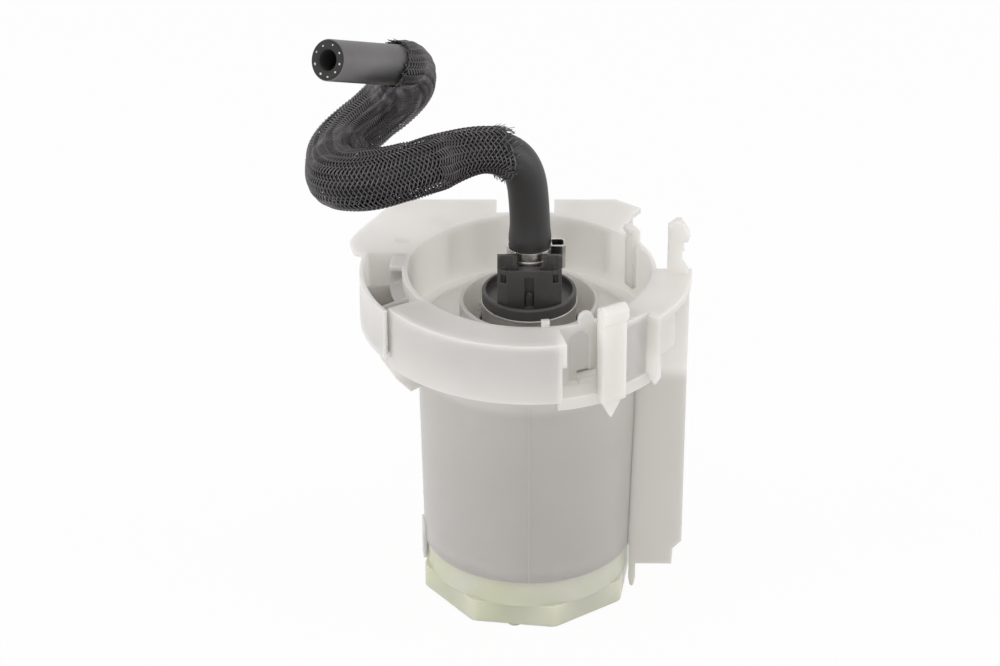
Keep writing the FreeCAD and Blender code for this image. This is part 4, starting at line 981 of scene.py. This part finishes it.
# Painted highlight: a lighter tone on the foot's edges.
foot_green = hard_finish(
    "pale_green_plastic", (0.60, 0.62, 0.44), (0.66, 0.665, 0.56), 0.34,
    cloud=26.0, grain=420.0, depth=0.12, edge_radius=0.0008, painted_edge_tone=(0.80, 0.81, 0.70),
    edge_share=0.5, soft=0.8,
)
# The holder is darker at its edges.
holder_milk = hard_finish(
    "holder_plastic", (0.90, 0.87, 0.82), (0.87, 0.84, 0.79), 0.42,
    cloud=25.0, grain=500.0, depth=0.15, edge_radius=0.0006, painted_edge_tone=(0.80, 0.79, 0.76),
    edge_share=0.5, soft=1.0,
)
print("milky finishes", pot_milk.name, foot_green.name, holder_milk.name)

# %% [markdown]
# ## Black plastic and rubber
#
# The cover is glass filled plastic with a fine moulded grain, and a painted
# highlight on its edges. Rubber is duller and softer in its highlights, and its cut
# face is the dullest of all. The hose gets painted light and shade by height: its
# tone is darker low down and rises towards its upper end, with a painted highlight
# on its edges.

# %% Black plastic and rubber
# Painted highlight: a lighter tone on the cover's edges.
cover_black = hard_finish(
    "cover_black", (0.048, 0.046, 0.047), (0.064, 0.061, 0.060), 0.40,
    cloud=60.0, grain=1500.0, depth=0.35, edge_radius=0.0005, painted_edge_tone=(0.16, 0.155, 0.15),
    edge_share=0.6,
)
# Painted shade and light: the hose is darker below 236 mm and five times lighter above 246 mm, and its
# edges get a painted highlight.
hose_black = hard_finish(
    "hose_rubber", (0.022, 0.021, 0.022), (0.032, 0.031, 0.032), 0.46,
    cloud=35.0, grain=1300.0, depth=0.25, edge_radius=0.0006, painted_edge_tone=(0.09, 0.09, 0.09),
    edge_share=0.4, shade=(0.236, 0.246, 0.65, 5.0),
)
cut_rubber = hard_finish(
    "cut_rubber", (0.007, 0.007, 0.007), (0.014, 0.013, 0.013), 0.72,
    cloud=200.0, grain=2200.0, depth=0.5,
)
soft_rubber = hard_finish(
    "soft_rubber", (0.030, 0.030, 0.032), (0.042, 0.042, 0.044), 0.62,
    cloud=50.0, grain=1100.0, depth=0.3,
)
print("black finishes", cover_black.name, hose_black.name, cut_rubber.name, soft_rubber.name)

# %% [markdown]
# ## Steel and aluminium
#
# Bare metal is all reflection, so its tones are set high and its look comes from
# roughness and grain. A grain squeezed in height draws fine lines round a piece
# that was rolled, drawn or ground. Cast aluminium keeps an even grain.

# %% Steel and aluminium
# Painted highlight: a lighter tone on the edges of the clamp, casing and cast aluminium.
clamp_steel = hard_finish(
    "clamp_steel", (0.66, 0.65, 0.63), (0.40, 0.39, 0.38), 0.20,
    metallic=1.0, cloud=120.0, grain=700.0, depth=0.12, stretch=(0.12, 0.12, 1.6),
    painted_edge_tone=(0.92, 0.91, 0.90), edge_share=0.5, edge_radius=0.0003,
)
casing_steel = hard_finish(
    "casing_steel", (0.60, 0.60, 0.59), (0.52, 0.52, 0.51), 0.30,
    metallic=1.0, cloud=60.0, grain=800.0, depth=0.15, stretch=(0.15, 0.15, 2.0),
    painted_edge_tone=(0.86, 0.85, 0.83), edge_share=0.7, edge_radius=0.0004,
)
cast_metal = hard_finish(
    "cast_aluminium", (0.55, 0.56, 0.57), (0.46, 0.47, 0.48), 0.45,
    metallic=1.0, cloud=90.0, grain=1200.0, depth=0.5, painted_edge_tone=(0.80, 0.80, 0.80),
    edge_share=0.5,
)
ground_steel = hard_finish(
    "ground_steel", (0.56, 0.57, 0.59), (0.48, 0.49, 0.51), 0.20,
    metallic=1.0, cloud=140.0, grain=900.0, depth=0.15, stretch=(0.2, 0.2, 3.0),
)
spring_steel = hard_finish(
    "spring_steel", (0.50, 0.50, 0.51), (0.40, 0.40, 0.41), 0.28,
    metallic=1.0, cloud=200.0, grain=1400.0, depth=0.2,
)
print("metals", clamp_steel.name, casing_steel.name, cast_metal.name, ground_steel.name)

# %% [markdown]
# ## Materials of the motor
#
# The rotor and what stands round it are hidden in the casing, and show when the
# pump is taken apart. Copper, bronze, ferrite, carbon and resin each get their own
# tones, and the core gets the thin lines of its stack of steel sheets.

# %% Motor materials
lamination_steel = hard_finish(
    "lamination_steel", (0.20, 0.20, 0.22), (0.30, 0.30, 0.31), 0.42,
    metallic=1.0, cloud=80.0, grain=420.0, depth=0.8, stretch=(0.05, 0.05, 6.0),
)
copper_wire = hard_finish(
    "enamelled_copper", (0.52, 0.20, 0.07), (0.62, 0.27, 0.10), 0.30,
    metallic=0.9, cloud=120.0, grain=500.0, depth=0.9, stretch=(1.0, 1.0, 0.3), coat=0.5,
)
bearing_bronze = hard_finish(
    "sintered_bronze", (0.42, 0.29, 0.14), (0.34, 0.23, 0.11), 0.5,
    metallic=1.0, cloud=200.0, grain=2500.0, depth=0.6,
)
commutator_copper = hard_finish(
    "commutator_copper", (0.45, 0.24, 0.12), (0.36, 0.19, 0.10), 0.35,
    metallic=0.9, cloud=150.0, grain=1200.0, depth=0.3,
)
# Painted highlight: a lighter tone on the ferrite's edges.
ferrite_grey = hard_finish(
    "sintered_ferrite", (0.075, 0.075, 0.080), (0.10, 0.10, 0.105), 0.58,
    cloud=120.0, grain=1800.0, depth=0.6, painted_edge_tone=(0.20, 0.20, 0.21), edge_share=0.4,
)
brush_carbon = hard_finish(
    "pressed_carbon", (0.035, 0.035, 0.037), (0.055, 0.055, 0.058), 0.5,
    cloud=250.0, grain=2600.0, depth=0.7,
)
# Painted highlight: a lighter tone on the impeller's edges.
impeller_resin = hard_finish(
    "impeller_resin", (0.11, 0.055, 0.035), (0.15, 0.08, 0.05), 0.4,
    cloud=120.0, grain=1400.0, depth=0.3, painted_edge_tone=(0.26, 0.16, 0.11), edge_share=0.4,
)
tinned_brass = hard_finish(
    "tinned_brass", (0.62, 0.60, 0.54), (0.56, 0.52, 0.42), 0.25,
    metallic=1.0, cloud=200.0, grain=900.0, depth=0.15,
)
mesh_cloth = hard_finish(
    "filter_cloth", (0.55, 0.56, 0.48), (0.48, 0.49, 0.42), 0.6,
    cloud=60.0, grain=2600.0, depth=1.0,
)
print("materials so far", len(bpy.data.materials))

# %% [markdown]
# ## Yarn of the sleeve
#
# A band of the sleeve is three filaments lying side by side. The map of each band
# runs across it from nought to one, so a sine of that gives the filaments, and
# the glossy black plastic does the rest.

# %% Braid finish
FILAMENTS_A_STRAND = 3.0


def build_braid_finish():
    material = bpy.data.materials.new("braid_yarn")
    material.use_nodes = True
    tree = material.node_tree
    links = tree.links
    shader = tree.nodes["Principled BSDF"]
    uv = add_node(tree, "ShaderNodeUVMap", uv_map="along")
    split = add_node(tree, "ShaderNodeSeparateXYZ")
    links.new(uv.outputs["UV"], split.inputs[0])
    across = maths(tree, "MULTIPLY", split.outputs["X"], FILAMENTS_A_STRAND * 2.0 * math.pi)
    wave = maths(tree, "SINE", across)
    bump = add_node(tree, "ShaderNodeBump")
    bump.inputs["Strength"].default_value = 0.5
    bump.inputs["Distance"].default_value = 0.0001
    links.new(wave, bump.inputs["Height"])
    links.new(bump.outputs["Normal"], shader.inputs["Normal"])
    shader.inputs["Specular IOR Level"].default_value = 1.0
    clouds = place_group(
        tree, tone_clouds, Tone=(0.019, 0.016, 0.019, 1), Other_tone=(0.036, 0.030, 0.036, 1), Scale=90.0,
    )
    links.new(clouds.outputs["Color"], shader.inputs["Base Color"])
    spread = add_node(tree, "ShaderNodeMapRange")
    spread.inputs["To Min"].default_value = 0.17
    spread.inputs["To Max"].default_value = 0.27
    links.new(clouds.outputs["Mask"], spread.inputs["Value"])
    links.new(spread.outputs["Result"], shader.inputs["Roughness"])
    return material


braid_yarn = build_braid_finish()
yarn_white = hard_finish(
    "cut_yarn", (0.72, 0.72, 0.72), (0.60, 0.60, 0.60), 0.6,
    cloud=400.0, grain=3000.0, depth=0.5,
)
print("braid finishes", braid_yarn.name, yarn_white.name)

# %% [markdown]
# ## Dressing the CAD nodes
#
# The CAD solids keep their shape and take the finishes through their material
# slots.

# %% Finishes on nodes
NODE_FINISH = {
    "swirl_pot": pot_milk,
    "strainer_foot": foot_green,
    "strainer_mesh": mesh_cloth,
    "foot_valve": soft_rubber,
    "pump_holder": holder_milk,
    "lower_isolator": soft_rubber,
    "upper_isolator": soft_rubber,
    "pump_casing": casing_steel,
    "casing_seal": soft_rubber,
    "inlet_cover": cast_metal,
    "inlet_screen": holder_milk,
    "impeller": impeller_resin,
    "pump_body": cast_metal,
    "lower_bearing": bearing_bronze,
    "upper_bearing": bearing_bronze,
    "rotor_shaft": ground_steel,
    "armature_core": lamination_steel,
    "armature_windings": copper_wire,
    "commutator": commutator_copper,
    "field_magnet_left": ferrite_grey,
    "field_magnet_right": ferrite_grey,
    "magnet_clips": spring_steel,
    "end_cover": cover_black,
    "brush_left": brush_carbon,
    "brush_right": brush_carbon,
    "terminal_left": tinned_brass,
    "terminal_right": tinned_brass,
    "outlet_pipe": cover_black,
    "check_valve_poppet": soft_rubber,
    "hose_clamp": clamp_steel,
}
for node_name, finish in NODE_FINISH.items():
    for material_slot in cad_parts[node_name].material_slots:
        material_slot.material = finish
rubber_hose.data.materials.append(hose_black)
rubber_hose.data.materials.append(cut_rubber)
yarn_ends.data.materials.append(yarn_white)
braided_sleeve.data.materials.append(braid_yarn)
frayed_ends.data.materials.append(braid_yarn)
for spring in coil_springs:
    spring.data.materials.append(spring_steel)
print("nodes dressed", len(NODE_FINISH))

# %% [markdown]
# ## The floor
#
# The photograph has a white ground. The floor is pale, and shows itself to the
# camera, to reflections and through plastic as white, while a share of plain
# diffuse keeps the shadow of the part.

# %% Floor
FLOOR_HALF = 6.0
FLOOR_TONE = 0.92
WHITE_SHARE = 0.94


def seen_rays(tree):
    """One on rays that look at the ground, nought on rays that light the part."""
    path = add_node(tree, "ShaderNodeLightPath")
    seen = maths(tree, "MAXIMUM", path.outputs["Is Camera Ray"], path.outputs["Is Glossy Ray"])
    return maths(tree, "MAXIMUM", seen, path.outputs["Is Transmission Ray"])


def build_floor():
    corners = [(x * FLOOR_HALF, y * FLOOR_HALF, 0.0) for x, y in ((-1, -1), (1, -1), (1, 1), (-1, 1))]
    ground = new_piece("floor", corners, [(0, 1, 2, 3)], smooth=False)
    material = bpy.data.materials.new("floor_white")
    material.use_nodes = True
    tree = material.node_tree
    tree.nodes.clear()
    output = add_node(tree, "ShaderNodeOutputMaterial")
    diffuse = add_node(tree, "ShaderNodeBsdfDiffuse")
    diffuse.inputs["Color"].default_value = (FLOOR_TONE, FLOOR_TONE, FLOOR_TONE, 1)
    glow = add_node(tree, "ShaderNodeEmission")
    glow.inputs["Color"].default_value = (1, 1, 1, 1)
    glow.inputs["Strength"].default_value = 1.0
    share = maths(tree, "MULTIPLY", seen_rays(tree), WHITE_SHARE)
    mix = add_node(tree, "ShaderNodeMixShader")
    tree.links.new(share, mix.inputs[0])
    tree.links.new(diffuse.outputs[0], mix.inputs[1])
    tree.links.new(glow.outputs[0], mix.inputs[2])
    tree.links.new(mix.outputs[0], output.inputs["Surface"])
    ground.data.materials.append(material)
    return ground


floor = build_floor()
print("floor", floor.name, 2.0 * FLOOR_HALF, "metres wide")

# %% [markdown]
# ## World and lamps
#
# A cloudy day has no hard shadows, and neither has a product photograph. Most of
# the light comes evenly from the world, and four large lamps, far off and weak,
# shape the round forms and leave soft highlights on them.

# %% World
WORLD_LEVEL = 0.63


def build_world():
    world = bpy.data.worlds.new("studio")
    world.use_nodes = True
    tree = world.node_tree
    background = tree.nodes["Background"]
    background.inputs["Color"].default_value = (1.0, 0.985, 0.965, 1)
    level = add_node(tree, "ShaderNodeMapRange")
    level.inputs["To Min"].default_value = WORLD_LEVEL
    level.inputs["To Max"].default_value = 1.0
    tree.links.new(seen_rays(tree), level.inputs["Value"])
    tree.links.new(level.outputs["Result"], background.inputs["Strength"])
    return world


bpy.context.scene.world = build_world()
print("world", bpy.context.scene.world.name)

# %% Lamps


def soft_lamp(name, place, aim, width, height, power):
    light = bpy.data.lights.new(name, "AREA")
    light.shape = "RECTANGLE"
    light.size = width
    light.size_y = height
    light.energy = power
    lamp = bpy.data.objects.new(name, light)
    lamp.location = place
    lamp.rotation_euler = (Vector(aim) - Vector(place)).to_track_quat("-Z", "Y").to_euler()
    bpy.context.scene.collection.objects.link(lamp)
    return lamp


MIDDLE = (0.0, 0.0, 0.13)
soft_lamp("left_box", (-1.6, -0.4, 0.60), MIDDLE, 1.0, 1.2, 9.0)
soft_lamp("right_box", (1.6, -0.2, 0.60), MIDDLE, 1.0, 1.2, 7.0)
soft_lamp("front_box", (-0.2, -1.9, 0.75), MIDDLE, 1.6, 1.0, 7.0)
soft_lamp("top_box", (0.0, 0.1, 1.80), MIDDLE, 1.4, 1.2, 3.5)
bpy.context.scene.view_settings.view_transform = "Standard"

# %% [markdown]
# ## The end
#

# %% End
print("scene built")
